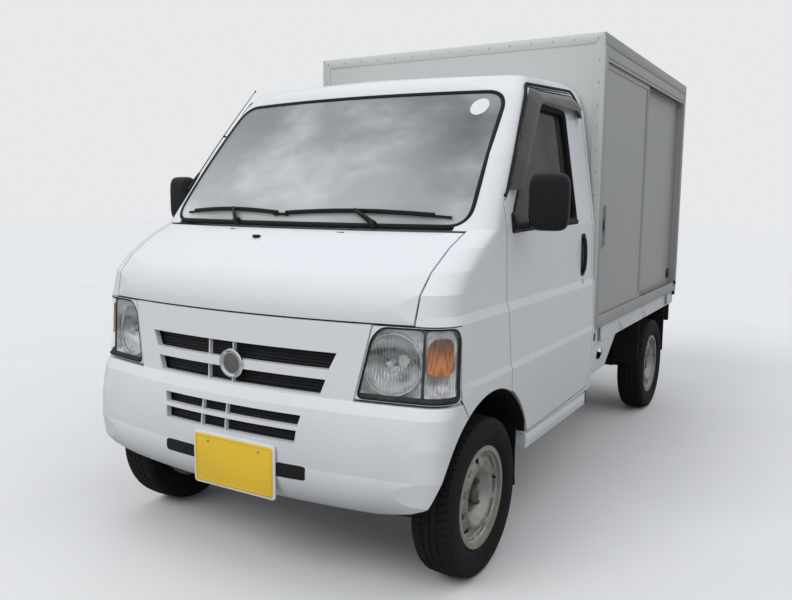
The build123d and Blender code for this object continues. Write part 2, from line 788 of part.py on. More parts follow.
steel_wheel = turned_x(barrel + barrel_inner) + turned_x(disc)
for i in range(vent_count):
    turn = Rot(i * 360 / vent_count, 0, 0)
    steel_wheel -= turn * Pos(30, 0, vent_circle_radius + 6) * Rot(0, 90, 0) * extrude(SlotOverall(24, 11), 60, both=True)
brake_drum = turned_x([
    (-30, spindle_radius + spindle_clearance),
    (7.2, spindle_radius + spindle_clearance),
    (7.2, 0),
    (24, 0),
    (24, hub_bore_radius - 2),
    (9, hub_bore_radius - 2),
    (9, 76),
    (4, drum_radius),
    (-30, drum_radius),
])
tyre_outline = [
    (-half_rim + rim_wall + 0.2, rim_seat_radius + 0.2),
    (-half_rim + rim_wall + 0.2, rim_lip_radius + 1),
    (-66, 188),
    (-tyre_width / 2, 214),
    (-66, 242),
    (-54, 260),
    (-40, tyre_radius),
    (40, tyre_radius),
    (54, 260),
    (66, 242),
    (tyre_width / 2, 214),
    (66, 188),
    (half_rim - rim_wall - 0.2, rim_lip_radius + 1),
    (half_rim - rim_wall - 0.2, rim_seat_radius + 0.2),
    (42, rim_seat_radius + 0.2),
    (58, 190),
    (62, 214),
    (54, 240),
    (36, 254),
    (-36, 254),
    (-54, 240),
    (-62, 214),
    (-58, 190),
    (-42, rim_seat_radius + 0.2),
]
tyre = turned_x(tyre_outline)
rim = Compound(children=[*steel_wheel.solids(), *brake_drum.solids()])

wheel_places = [
    # name, y, side
    ("front_left", 0.0, 1),
    ("front_right", 0.0, -1),
    ("rear_left", wheelbase, 1),
    ("rear_right", wheelbase, -1),
]

# Bed: a low platform on the rails, with side rails and cross ribs under the floor
bed_rear = 2918.0
cargo_bed = block(-bed_half_width, bed_half_width, bed_front, bed_rear, bed_top - bed_floor, bed_top)
for side in (1, -1):
    x0, x1 = sorted((side * (bed_half_width - 26), side * bed_half_width))
    cargo_bed += block(x0, x1, bed_front, bed_rear, bed_top - bed_side_height, bed_top - bed_floor + 1)
for y in (bed_front + 15, 1480, 1840, 2190, 2640, bed_rear - 15):
    cargo_bed += block(-bed_half_width, bed_half_width, y - 15, y + 15, bed_top - bed_side_height, bed_top - bed_floor + 1)

bed_gusset_outline = [(bed_front + 2, 446), (1366, 450), (1552, 580), (bed_front + 2, 580)]
bed_gusset = prism_x(soft_face(bed_gusset_outline, 1.5), bed_half_width - 6, bed_half_width - 2)
bed_gusset -= prism_x(Pos(1268, 522) * Ellipse(52, 26), bed_half_width - 10, bed_half_width)
cargo_bed += bed_gusset
cargo_bed += other_side(bed_gusset)
cargo_bed += block(2 - bed_half_width, bed_half_width - 2, bed_front, bed_front + 5, 447, bed_top - bed_side_height + 1)

# Box body
side_open_front = box_front + box_post
side_open_rear = box_rear - box_post
open_low = box_bottom + box_sill
side_open_high = box_top - box_header
rear_open_high = box_top - 60
box_shell = block(-box_half_width, box_half_width, box_front, box_rear, box_bottom, box_top)
box_shell -= block(
    -box_half_width + box_post, box_half_width - box_post,
    box_front + box_wall, box_rear + 10, box_bottom + box_sill, box_top - box_wall
)
box_shell -= block(-800, 800, side_open_front, side_open_rear, open_low, side_open_high)
box_shell += block(
    -box_half_width + box_post - 1, box_half_width - box_post + 1, box_rear - box_post, box_rear,
    rear_open_high, box_top
)
for side in (1, -1):
    for z0, z1 in ((open_low - 1, open_low + 16), (side_open_high - 16, side_open_high + 1)):
        x0, x1 = sorted((side * (side_door_outer_x + 6), side * box_half_width))
        box_shell += block(x0, x1, side_open_front - 1, side_open_rear + 1, z0, z1)

side_door_low = open_low + 5
side_door_high = side_open_high - 5
side_middle = 1945.0
inner_x = side_door_outer_x - side_door_thickness - side_door_gap


def side_door(x_outer, y0, y1):
    """A framed sliding panel with two runners in the bottom track."""
    panel = block(x_outer - side_door_thickness, x_outer, y0, y1, side_door_low, side_door_high)
    panel -= block(x_outer - 4, x_outer + 1, y0 + 34, y1 - 34, side_door_low + 34, side_door_high - 34)
    for y in (y0 + 120, y1 - 120):
        panel += block(x_outer - 14, x_outer - 6, y - 30, y + 30, open_low + 0.3, side_door_low + 1)
    return panel


side_front_end = side_middle + side_door_overlap
side_door_front_left = side_door(side_door_outer_x, side_open_front + 6, side_front_end)
side_door_rear_left = side_door(inner_x, side_middle, side_open_rear - 6)

rear_hinge_x = box_half_width - box_post + 12
rear_hinge_y = box_rear + 9
rear_door_left = block(
    3, box_half_width - box_post - 6, box_rear - rear_door_thickness, box_rear, open_low + 5, rear_open_high - 5
)
rear_hinge_heights = (780.0, 1270.0, 1760.0)
for z in rear_hinge_heights:
    rear_door_left += block(rear_hinge_x - 60, rear_hinge_x, box_rear + 0.8, box_rear + 6, z - 22, z + 22)
    rear_door_left += block(rear_hinge_x - 60, rear_hinge_x - 26, box_rear - 0.5, box_rear + 1, z - 22, z + 22)
    rear_door_left += Pos(rear_hinge_x, rear_hinge_y, z) * Cylinder(8, 44)
    for side in (1, -1):
        for end in (z - 33.3, z + 33.3):
            box_shell += Pos(side * rear_hinge_x, rear_hinge_y, end) * Cylinder(8, 22)
            x0, x1 = sorted((side * rear_hinge_x, side * (rear_hinge_x + 34)))
            box_shell += block(x0, x1, box_rear - 0.5, box_rear + 5, end - 11, end + 11)

# Rear lamps under the bed, and rubber guards behind and ahead of the wheels
tail_lamp = block(556, 706, 2872, 2918, 462, bed_top - bed_side_height)
mud_flap = block(575, 716, 2690, 2698, 300, bed_top - bed_side_height)
guard_front = block(575, 716, 2040, 2048, 330, bed_top - bed_side_height)
mud_guards = Compound(children=[
    *both_sides(mud_flap).solids(),
    *both_sides(guard_front).solids(),
])

plate_width = 330.0
plate_height = 165.0
plate_centre = (40.0, 388.0)
number_plate = block(
    plate_centre[0] - plate_width / 2 - 5, plate_centre[0] + plate_width / 2 + 5, -front_overhang, -front_overhang + 3,
    plate_centre[1] - plate_height / 2 - 5, plate_centre[1] + plate_height / 2 + 5
)
number_plate += block(plate_centre[0] - 60, plate_centre[0] + 60, -front_overhang + 2, -436, 430, 462)
number_plate -= cab_form(-seat_gap, rounded=False)

nodes = {
    "frame_rails": frame_rails,
    "engine_block": engine_block,
    "fuel_tank": fuel_tank,
    "front_suspension": front_suspension_both,
    "rear_axle": rear_axle,
    "exhaust": exhaust,
    "cab_shell": cab_shell,
    "front_fenders": front_fenders,
    "bumper_fascia": bumper,
    "grille_core": grille_core,
    "headlamp_housings": both_sides(lamp_body),
    "headlamp_lenses": both_sides(lamp_lens),
    "cab_glass": cab_glass,
    "wipers": wipers,
    "dashboard": dashboard,
    "seats": seats,
    "cargo_bed": cargo_bed,
    "box_shell": box_shell,
    "tail_lamps": both_sides(tail_lamp),
    "mud_guards": mud_guards,
    "number_plate": number_plate,
    "hood": hood,
    "steering_wheel": steering_wheel,
    "door_left": door_left,
    "door_left_glass": door_left_glass,
    "door_left_fittings": door_left_fittings,
    "door_right": other_side(door_left),
    "door_right_glass": other_side(door_left_glass),
    "door_right_fittings": other_side(door_left_fittings),
    "knuckle_left": knuckle_left,
    "knuckle_right": other_side(knuckle_left),
    "side_door_front_left": side_door_front_left,
    "side_door_rear_left": side_door_rear_left,
    "side_door_front_right": other_side(side_door_front_left),
    "side_door_rear_right": other_side(side_door_rear_left),
    "rear_door_left": rear_door_left,
    "rear_door_right": other_side(rear_door_left),
}
for name, y, side in wheel_places:
    place = Pos(wheel_centre_x, y, wheel_height)
    nodes["rim_" + name] = place * rim if side > 0 else other_side(place * rim)
    nodes["tyre_" + name] = place * tyre if side > 0 else other_side(place * tyre)

for name, shape in nodes.items():
    export_step(Pos(0, frame_shift, 0) * shape, "parts/" + name + ".step")
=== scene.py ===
import bpy
import numpy as np
from mathutils import Matrix, Vector


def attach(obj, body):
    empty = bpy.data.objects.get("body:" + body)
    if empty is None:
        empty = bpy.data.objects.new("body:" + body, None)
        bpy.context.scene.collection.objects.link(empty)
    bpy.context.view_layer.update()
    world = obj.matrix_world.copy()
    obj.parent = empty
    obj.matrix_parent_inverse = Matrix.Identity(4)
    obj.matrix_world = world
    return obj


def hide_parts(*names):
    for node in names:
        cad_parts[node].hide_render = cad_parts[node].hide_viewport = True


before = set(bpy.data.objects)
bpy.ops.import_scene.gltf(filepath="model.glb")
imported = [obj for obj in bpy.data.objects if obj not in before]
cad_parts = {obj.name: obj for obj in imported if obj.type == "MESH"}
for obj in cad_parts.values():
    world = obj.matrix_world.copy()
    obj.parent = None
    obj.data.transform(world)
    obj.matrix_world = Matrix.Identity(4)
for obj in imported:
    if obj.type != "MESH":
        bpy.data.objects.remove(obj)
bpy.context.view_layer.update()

bl_info = {
    "name": "Small Box Truck",
    "version": (1, 0, 0),
    "blender": (4, 5, 0),
    "location": "View3D > Sidebar > Truck",
    "description": "Dresses a small forward-cab truck with an aluminium box body",
    "category": "Object",
}

# Shapes are worked out in metres with y counted from the front axle, and moved by
# front_axle_y when they become a mesh. The front is towards -y and the left side towards +x.
front_axle_y = -1.2425
wheelbase = 2.42
wheel_height = 0.264
wheel_centre_x = 0.645
wheel_vents = 10
nose_centre_y = 2.5
box_front = 1.112
box_rear = 2.922
box_half_width = 0.732
box_bottom = 0.657
box_top = 1.932
vent_circle = 0.1200
wheel_places = (
    # name, y of the axle, side of the truck
    ("front_left", 0.0, 1), ("front_right", 0.0, -1), ("rear_left", wheelbase, 1),
    ("rear_right", wheelbase, -1),
)


# Points


def stacked(*columns):
    """Columns of coordinates as points. A single number stands for a whole column."""
    return np.stack(np.broadcast_arrays(*columns), -1)


def even_turns(count):
    """Evenly spaced bearings round a circle, without the first one again."""
    return np.linspace(0, 2 * np.pi, count, endpoint=False)


def ellipse(middle, reach, count):
    """An ellipse, or a circle where reach is one number, in the plane of middle."""
    t = even_turns(count)
    wide, high = np.broadcast_to(reach, 2)
    return stacked(middle[0] + wide * np.cos(t), middle[1] + high * np.sin(t))


def oval_in(loop, middle, reach):
    """An ellipse round middle, each point on the bearing of the loop's point."""
    turn = np.arctan2((loop[:, 1] - middle[1]) / reach[1], (loop[:, 0] - middle[0]) / reach[0])
    return middle + stacked(reach[0] * np.cos(turn), reach[1] * np.sin(turn))


def stood(loop, y):
    """A flat loop of x and z, stood across the truck at y."""
    return stacked(loop[:, 0], y, loop[:, 1])


def power(value, exponent):
    """The power of the value's size, with the value's sign."""
    return np.sign(value) * np.abs(value) ** exponent


def run_lengths(path):
    """The length along a path at each of its points."""
    return np.concatenate([[0], np.cumsum(np.linalg.norm(np.diff(path, axis=0), axis=1))])


# Body surface

# The cab's front profile as y and z, and its half width in front view as x and z. The third number
# is 1 where the place is only the middle of an arc.
side_rows = [
    (-0.405, 0.296, 0), (-0.438, 0.340, 1), (-0.448, 0.420, 0), (-0.444, 0.515, 1),
    (-0.428, 0.600, 0), (-0.408, 0.634, 0), (-0.392, 0.867, 0), (-0.374, 0.955, 1),
    (-0.318, 1.017, 0), (-0.216, 1.083, 1),
    (-0.104, 1.134, 0), (0.088, 1.381, 1), (0.296, 1.612, 0), (0.320, 1.648, 1), (0.362, 1.673, 0),
    (0.540, 1.712, 1), (0.780, 1.738, 0), (1.400, 1.764, 0),
]
left_rows = [
    (0.712, 0.296, 0), (0.725, 0.400, 0), (0.736, 0.640, 0), (0.737, 0.664, 0), (0.732, 0.686, 0),
    (0.731, 0.866, 0), (0.722, 0.894, 0), (0.719, 1.130, 0), (0.652, 1.600, 0), (0.630, 1.665, 0),
    (0.596, 1.704, 1), (0.540, 1.722, 0),
]
# Heights and the radius that the cab's plan has at its front corners there
corner_rows = np.array([
    (0.286, 0.058), (0.345, 0.062), (0.420, 0.070), (0.515, 0.082), (0.600, 0.092), (0.634, 0.096),
    (0.686, 0.098), (0.867, 0.104), (0.955, 0.108), (1.017, 0.112), (1.083, 0.112), (1.134, 0.100),
    (1.381, 0.080), (1.612, 0.074), (1.764, 0.070),
])


def arc(a, b, c, count):
    """Points from a to c on the circle through a, b and c, leaving out c."""
    a, b, c = (np.asarray(p, float) for p in (a, b, c))
    across = np.array([b - a, c - a]) * 2
    centre = np.linalg.solve(across, [b @ b - a @ a, c @ c - a @ a])
    angles = [np.arctan2(*(p - centre)[::-1]) for p in (a, b, c)]
    angles = np.unwrap(angles)
    turn = np.linspace(angles[0], angles[2], count, endpoint=False)
    radius = np.linalg.norm(a - centre)
    return centre + radius * stacked(np.cos(turn), np.sin(turn))


def dense(rows, count=10):
    """The outline table as a dense line: straight between corners, circular past a middle row."""
    points, i = [], 0
    while i < len(rows) - 1:
        if rows[i + 1][2]:
            points.append(arc(rows[i][:2], rows[i + 1][:2], rows[i + 2][:2], count))
            i += 2
        else:
            points.append(np.array([rows[i][:2]]))
            i += 1
    points.append(np.array([rows[-1][:2]]))
    return np.concatenate(points)


side_line = dense(side_rows)
left_line = dense(left_rows)


def front_y(z):
    """The cab's front at the middle of the truck, at height z."""
    return np.interp(z, side_line[:, 1], side_line[:, 0])


def half_width(z):
    """The cab's half width at height z."""
    return np.interp(z, left_line[:, 1], left_line[:, 0])


def plan_point(u, z):
    """The cab's point at arc length u from the middle of the nose and at height z: first on the
    wide nose circle, then on the corner's circle, then straight back along the side."""
    nose = nose_centre_y - front_y(z)
    wide = half_width(z)
    round_r = np.interp(z, corner_rows[:, 0], corner_rows[:, 1])
    cx = wide - round_r
    cy = nose_centre_y - np.sqrt((nose - round_r) ** 2 - cx ** 2)
    meet = np.arcsin(cx / (nose - round_r))
    first = nose * meet
    second = round_r * (np.pi / 2 - meet)
    s, a = np.sign(u) + (u == 0), np.abs(u)
    phi = np.where(a < first, a / nose, np.minimum(meet + (a - first) / round_r, np.pi / 2))
    x = np.where(a < first, nose * np.sin(phi), cx + round_r * np.sin(phi))
    y = np.where(a < first, nose_centre_y - nose * np.cos(phi), cy - round_r * np.cos(phi))
    y = y + np.maximum(0, a - first - second)
    return stacked(s * x, y, z)


def skin(u, z, lift=0.0):
    """The cab surface at arc length u and height z, moved outwards by lift along its normal,
    which is the cross product of the two small steps along u and z."""
    u, z = np.broadcast_arrays(np.asarray(u, float), np.asarray(z, float))
    step = 0.0015
    here = plan_point(u, z)
    du = plan_point(u + step, z) - plan_point(u - step, z)
    dz = plan_point(u, z + step) - plan_point(u, z - step)
    normal = np.cross(du, dz)
    normal /= np.linalg.norm(normal, axis=-1, keepdims=True)
    return here + normal * np.asarray(lift)[..., None]


def arc_length(x, z):
    """The arc length u at which the nose or its corner has that x."""
    nose = nose_centre_y - front_y(z)
    round_r = np.interp(z, corner_rows[:, 0], corner_rows[:, 1])
    cx = half_width(z) - round_r
    meet = np.arcsin(cx / (nose - round_r))
    a = np.abs(x)
    on_nose = nose * np.arcsin(np.clip(a / nose, -1, 1))
    on_corner = nose * meet + round_r * (np.arcsin(np.clip((a - cx) / round_r, -1, 1)) - meet)
    return np.sign(x) * np.where(a < nose * np.sin(meet), on_nose, on_corner)


def nose_at(x, z, lift=0.0):
    """The nose or windscreen surface at x and height z."""
    x, z = np.broadcast_arrays(np.asarray(x, float), np.asarray(z, float))
    return skin(arc_length(x, z), z, lift)


def side_at(y, z, lift=0.0):
    """The left body side at y and height z."""
    y, z = np.broadcast_arrays(np.asarray(y, float), np.asarray(z, float))
    slope = (half_width(z + 0.002) - half_width(z - 0.002)) / 0.004
    size = np.sqrt(1 + slope ** 2)
    lift = np.asarray(lift)
    return stacked(half_width(z) + lift / size, y, z - lift * slope / size)


# Meshes


def grid_faces(rows, columns, close_rows=False, close_columns=False):
    """Quads of a grid of points counted row by row, joined round where asked."""
    i = np.arange(rows if close_rows else rows - 1)[:, None]
    j = np.arange(columns if close_columns else columns - 1)[None, :]
    i2, j2 = (i + 1) % rows, (j + 1) % columns
    faces = stacked(i * columns + j, i * columns + j2, i2 * columns + j2, i2 * columns + j)
    return [tuple(f) for f in faces.reshape(-1, 4).tolist()]


def joined(*shapes):
    """Several (points, faces) shapes as one."""
    points, faces, start = [], [], 0
    for p, f in shapes:
        p = np.asarray(p, float).reshape(-1, 3)
        points.append(p)
        faces += [tuple(i + start for i in face) for face in f]
        start += len(p)
    return np.concatenate(points), faces


def moved(shape, by):
    """The shape moved by that much."""
    return np.asarray(shape[0]) + np.asarray(by, float), shape[1]


def copies(shape, places):
    """The shape moved to each place."""
    return joined(*[moved(shape, place) for place in places])


def mirrored(shape):
    """The shape on the other side of the truck, its faces turned back outwards."""
    points, faces = shape
    return np.asarray(points) * (-1, 1, 1), [tuple(reversed(f)) for f in faces]


def both(shape):
    """The shape and its mirror image."""
    return joined(shape, mirrored(shape))


def layer(surface, outer, inner=None, low=0.0, high=0.002, rings=4, profile=None):
    """A closed layer on a surface, over the region inside the loop outer, or between it and inner.
    Point k of ring t is outer * (1 - t) + inner * t, lifted by high on the outside and low inside.
    Without an inner loop the rings shrink towards the loop's mean point and a face closes them.
    A profile gives the outside's lift ring by ring instead of high."""
    outer = np.asarray(outer, float)
    closed = inner is None
    goal = outer.mean(0) + (outer - outer.mean(0)) * 0.02 if closed else np.asarray(inner, float)
    t = np.linspace(0, 1, rings + 1)[:, None, None]
    flat = outer * (1 - t) + goal * t
    rise = np.full(rings + 1, high) if profile is None else np.asarray(profile, float)
    top = surface(flat[..., 0], flat[..., 1], rise[:, None] * np.ones(len(outer)))
    under = surface(flat[..., 0], flat[..., 1], low * np.ones(flat.shape[:2]))
    if closed:
        return shell(top, under)
    points = np.concatenate([top, under[::-1]])
    faces = grid_faces(len(points), len(outer), close_rows=True, close_columns=True)
    return outward(points.reshape(-1, 3), faces)


def shell(top, under):
    """Rings of points on a top and on its underside as a closed shape. Each innermost ring has a
    face of its own, and the two outermost ones are joined."""
    rows, n = top.shape[:2]
    middle, last = rows * n, (2 * rows - 1) * n
    faces = grid_faces(2 * rows, n, close_columns=True)
    faces = [f for f in faces if not (min(f) // n == rows - 1 and max(f) // n == rows)]
    faces += [tuple(range(middle - n, middle))[::-1], tuple(range(middle, middle + n))]
    faces += [(last + k, last + (k + 1) % n, (k + 1) % n, k) for k in range(n)]
    return outward(np.concatenate([top, under[::-1]]).reshape(-1, 3), faces)


def capped(rings):
    """Rings of points as a closed shape: quads between the rings and a face over each end."""
    rings = np.asarray(rings, float)
    count, n = rings.shape[:2]
    last = (count - 1) * n
    faces = grid_faces(count, n, close_columns=True)
    faces += [tuple(range(n))[::-1], tuple(range(last, last + n))]
    return outward(rings.reshape(-1, 3), faces)


def outward(points, faces):
    """The closed shape with its faces turned so that the volume they enclose is positive."""
    volume = 0.0
    for f in faces:
        a = points[f[0]]
        for b, c in zip(f[1:-1], f[2:]):
            volume += np.dot(a, np.cross(points[b], points[c]))
    return points, (faces if volume > 0 else [tuple(reversed(f)) for f in faces])


def rings_round(path, ahead, radius, sides, up, flat):
    """Rings of points round a path. Each ring stands across the local direction, its first axis
    being the part of up that is square to it, and flat scales the second axis."""
    ahead = ahead / np.linalg.norm(ahead, axis=1, keepdims=True)
    side = np.cross(ahead, np.asarray(up, float))
    side /= np.linalg.norm(side, axis=1, keepdims=True) + 1e-12
    top = np.cross(side, ahead)
    turn = even_turns(sides)[None, :, None]
    ring = np.cos(turn) * top[:, None] + np.sin(turn) * side[:, None] * flat
    radius = np.broadcast_to(np.asarray(radius, float), len(path))
    return path[:, None] + ring * radius[:, None, None]


def tube(path, radius, sides=12, up=(0, 0, 1), flat=1.0):
    """A round or flattened bar along a path, closed at both ends."""
    path = np.asarray(path, float)
    return capped(rings_round(path, np.gradient(path, axis=0), radius, sides, up, flat))


def loop_bar(path, radius, sides=10, up=(0, 0, 1)):
    """A bar along a closed path."""
    path = np.asarray(path, float)
    ahead = np.roll(path, -1, 0) - np.roll(path, 1, 0)
    points = rings_round(path, ahead, radius, sides, up, 1.0)
    faces = grid_faces(len(path), sides, close_rows=True, close_columns=True)
    return outward(points.reshape(-1, 3), faces)


def turned(profile, centre, axis="x", count=96, wave=None):
    """A closed shape of revolution. profile holds (place along the axis, radius) in order round a
    closed outline; a point turns by the angle t to centre + place on the axis + radius at t.
    wave(t, place, radius) adds to the radius."""
    profile = np.asarray(profile, float)
    t = even_turns(count)[:, None]
    place, radius = profile[:, 0][None], profile[:, 1][None] * np.ones_like(t)
    if wave is not None:
        radius = radius + wave(t, place, radius)
    place = place * np.ones_like(t)
    a, b = radius * np.cos(t), radius * np.sin(t)
    order = {"x": (place, a, b), "y": (a, place, b), "z": (a, b, place)}[axis]
    points = np.stack(order, -1) + np.asarray(centre, float)
    faces = grid_faces(count, len(profile), close_rows=True, close_columns=True)
    return outward(points.reshape(-1, 3), faces)


def rounded(width, height, radius, corner=6):
    """A rectangle outline about its middle with quarter circle corners."""
    t = np.linspace(0, np.pi / 2, corner)
    loops = []
    for k, (sx, sz) in enumerate(((1, 1), (-1, 1), (-1, -1), (1, -1))):
        a = t + k * np.pi / 2
        centre = (sx * (width / 2 - radius), sz * (height / 2 - radius))
        loops.append(stacked(centre[0] + radius * np.cos(a), centre[1] + radius * np.sin(a)))
    return np.concatenate(loops)


def softened(points, radius, corner=5):
    """A polygon with each corner replaced by a quadratic curve that starts radius before it."""
    points = np.asarray(points, float)
    out = []
    for before, here, after in zip(np.roll(points, 1, 0), points, np.roll(points, -1, 0)):
        a, b = before - here, after - here
        start = here + a / np.linalg.norm(a) * min(radius, np.linalg.norm(a) * 0.45)
        end = here + b / np.linalg.norm(b) * min(radius, np.linalg.norm(b) * 0.45)
        t = np.linspace(0, 1, corner)[:, None]
        out.append((1 - t) ** 2 * start + 2 * t * (1 - t) * here + t ** 2 * end)
    return np.concatenate(out)


def offset(loop, amount):
    """The closed loop with each point moved along its outward normal."""
    loop = np.asarray(loop, float)
    along = np.roll(loop, -1, 0) - np.roll(loop, 1, 0)
    along /= np.linalg.norm(along, axis=1, keepdims=True)
    normal = stacked(along[:, 1], -along[:, 0])
    area = np.sum(loop[:, 0] * np.roll(loop[:, 1], -1) - loop[:, 1] * np.roll(loop[:, 0], -1))
    return loop + normal * amount * np.sign(area)


def plate(outline, d0, d1, plane="xz", bevel=0.0, steps=3, place=(0, 0, 0)):
    """A plate with rounded rims. outline lies in the plane, and the plate fills d0 to d1 across it.
    Each rim is a quarter circle of the bevel's radius: the loop is drawn in as it nears a face."""
    outline = np.asarray(outline, float)
    angle = np.linspace(0, np.pi / 2, steps + 1)
    if bevel:
        shrink = np.concatenate([1 - np.sin(angle), 1 - np.sin(angle[::-1])]) * bevel
        rise = np.concatenate([d0 + (1 - np.cos(angle)) * bevel,
                               d1 - (1 - np.cos(angle[::-1])) * bevel])
    else:
        shrink, rise = np.zeros(2), np.array([d0, d1])
    rings = []
    for s, d in zip(shrink, rise):
        loop = offset(outline, -s)
        e = np.full(len(loop), d)
        order = {"xz": (loop[:, 0], e, loop[:, 1]), "yz": (e, loop[:, 0], loop[:, 1]),
                 "xy": (loop[:, 0], loop[:, 1], e)}[plane]
        rings.append(np.stack(order, -1))
    return capped(np.array(rings) + np.asarray(place, float))


def brick(lo, hi, bevel=0.002):
    """A box between two corners with rounded edges along x and rounded rims."""
    lo, hi = np.asarray(lo, float), np.asarray(hi, float)
    size, middle = hi - lo, (hi + lo) / 2
    bevel = min(bevel, 0.45 * size.min())
    outline = rounded(size[1], size[2], bevel, 4) + middle[1:]
    return plate(outline, lo[0], hi[0], "yz", bevel)


def spun(shape, centre, axis, degrees):
    """The shape turned about an axis through centre."""
    turn = np.array(Matrix.Rotation(np.radians(degrees), 3, Vector(axis)))
    points = (np.asarray(shape[0]) - centre) @ turn.T + centre
    return points, shape[1]


def at_wheel(shape, y, side):
    """The shape of a left wheel on its axle, turned half round for the right side."""
    place = (side * wheel_centre_x, y, wheel_height)
    return np.asarray(shape[0]) * (side, side, 1) + place, shape[1]


def put(name, shape, finish, sharp=35.0, replaces=(), body="chassis"):
    """Makes the shape an object of its own that rides on a body, smooth up to the angle sharp."""
    points, faces = shape
    mesh = bpy.data.meshes.new(name)
    points = np.asarray(points, float) + (0, front_axle_y, 0)
    mesh.from_pydata(points.tolist(), [], faces)
    mesh.validate()
    mesh.update()
    mesh.shade_smooth()
    mesh.set_sharp_from_angle(angle=np.radians(sharp))
    piece = bpy.data.objects.new(name, mesh)
    bpy.context.scene.collection.objects.link(piece)
    mesh.materials.append(finish_of(finish))
    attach(piece, body)
    if replaces:
        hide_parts(*replaces)
    return piece


def put_pair(name, shape, finish, sharp, body, covers=""):
    """Puts the shape on a left body and its mirror image on the right one."""
    for side, one in (("left", shape), ("right", mirrored(shape))):
        replaces = (covers.format(side),) if covers else ()
        put(f"{name}_{side}", one, finish, sharp, replaces, f"{body}_{side}")


# Shader maths


class Wire:
    """A shader socket that can stand in a Python sum."""

    def __init__(self, book, socket):
        self.book = book
        self.socket = socket

    def math(self, operation, *values):
        return self.book.node("ShaderNodeMath", {"operation": operation}, dict(enumerate(values)))

    def __add__(self, other):
        return self.math("ADD", self, other)

    __radd__ = __add__

    def __sub__(self, other):
        return self.math("SUBTRACT", self, other)

    def __rsub__(self, other):
        return self.math("SUBTRACT", other, self)

    def __mul__(self, other):
        return self.math("MULTIPLY", self, other)

    __rmul__ = __mul__

    def __truediv__(self, other):
        return self.math("DIVIDE", self, other)

    def __pow__(self, other):
        return self.math("POWER", self, other)

    def sine(self):
        return self.math("SINE", self)

    def limited(self):
        return self.book.node("ShaderNodeClamp", {}, {"Value": self})


def times(colour, factor):
    """The colour made lighter or darker by a factor."""
    return tuple(c * factor for c in colour)


class Book:
    """The node tree of one finish, or of the world."""

    def __init__(self, name, owner=None, place="Object"):
        self.owner = owner or bpy.data.materials.new(name)
        self.owner.use_nodes = True
        self.tree = self.owner.node_tree
        self.tree.nodes.clear()
        self.place = self.node("ShaderNodeTexCoord", {}, {}, place)

    def node(self, kind, settings, values, output=0):
        """A node of that kind: its settings first, then its socket values or links."""
        made = self.tree.nodes.new(kind)
        for key, value in settings.items():
            setattr(made, key, value)
        for key, value in values.items():
            socket = made.inputs[key]
            if isinstance(value, Wire):
                self.tree.links.new(value.socket, socket)
            elif socket.type == "RGBA":
                socket.default_value = (*value[:3], 1.0)
            else:
                socket.default_value = value
        return Wire(self, made.outputs[output])

    def noise(self, scale, detail=3.0, roughness=0.5, stretch=(1, 1, 1)):
        """Smooth noise on Object coordinates, stretched by dividing each axis."""
        place = self.node("ShaderNodeMapping", {}, {"Vector": self.place, "Scale": tuple(stretch)})
        values = {"Vector": place, "Scale": scale, "Detail": detail, "Roughness": roughness}
        return self.node("ShaderNodeTexNoise", {}, values)

    def axis(self, name):
        """One coordinate of the place."""
        return self.node("ShaderNodeSeparateXYZ", {}, {0: self.place}, name)

    def band(self, value, low, high, start=0.0, end=1.0):
        """A value mapped smoothly from low..high to start..end."""
        values = {"Value": value, "From Min": low, "From Max": high, "To Min": start, "To Max": end}
        settings = {"interpolation_type": "SMOOTHSTEP"}
        return self.node("ShaderNodeMapRange", settings, values)

    def mix(self, share, a, b):
        """Colour a turned into b by share."""
        values = {"Factor": share, 6: a, 7: b}
        return self.node("ShaderNodeMix", {"data_type": "RGBA", "clamp_factor": True}, values, 2)

    def bump(self, height, distance, strength=1.0, edge=0.0):
        """A bump, over edges rounded by that radius."""
        values = {"Height": height, "Distance": distance, "Strength": strength}
        if edge:
            values["Normal"] = self.node("ShaderNodeBevel", {"samples": 4}, {"Radius": edge})
        return self.node("ShaderNodeBump", {}, values)

    def end(self, shader, kind="ShaderNodeOutputMaterial"):
        """Leads the shader to the output."""
        out = self.tree.nodes.new(kind)
        self.tree.links.new(shader.socket, out.inputs["Surface"])

    def finish(self, values):
        """The finish: one Principled shader on the output."""
        self.end(self.node("ShaderNodeBsdfPrincipled", {}, values))
        return self.owner


# Finishes


def paint(name, colour, low_darkening, edge):
    """Gloss paint: darker towards the sills in cloudy patches, faint rain streaks and a
    roughness that follows both."""
    book = Book(name)
    z = book.axis("Z")
    cloud = book.noise(2.2, 2.0, 0.5)
    streak = book.noise(9.0, 2.0, 0.5, (1.0, 1.0, 0.05))
    # Darker towards the sills, in cloudy patches.
    film = book.band(z, 0.85, 0.28, 0.0, low_darkening) * book.band(cloud, 0.2, 0.8)
    trail = book.band(streak, 0.4, 0.8, 0.0, 0.05)
    mask = (film + trail).limited()
    tone = book.mix(mask, colour, times(colour, 0.66))
    rough = mask * 0.30 + book.band(cloud, 0.2, 0.8, 0.22, 0.30)
    return book.finish({
        "Base Color": tone, "Roughness": rough, "Coat Weight": 0.35, "Coat Roughness": 0.15,
        "Normal": book.bump(book.noise(90.0, 2.0), 0.0006, 0.04, edge),
    })


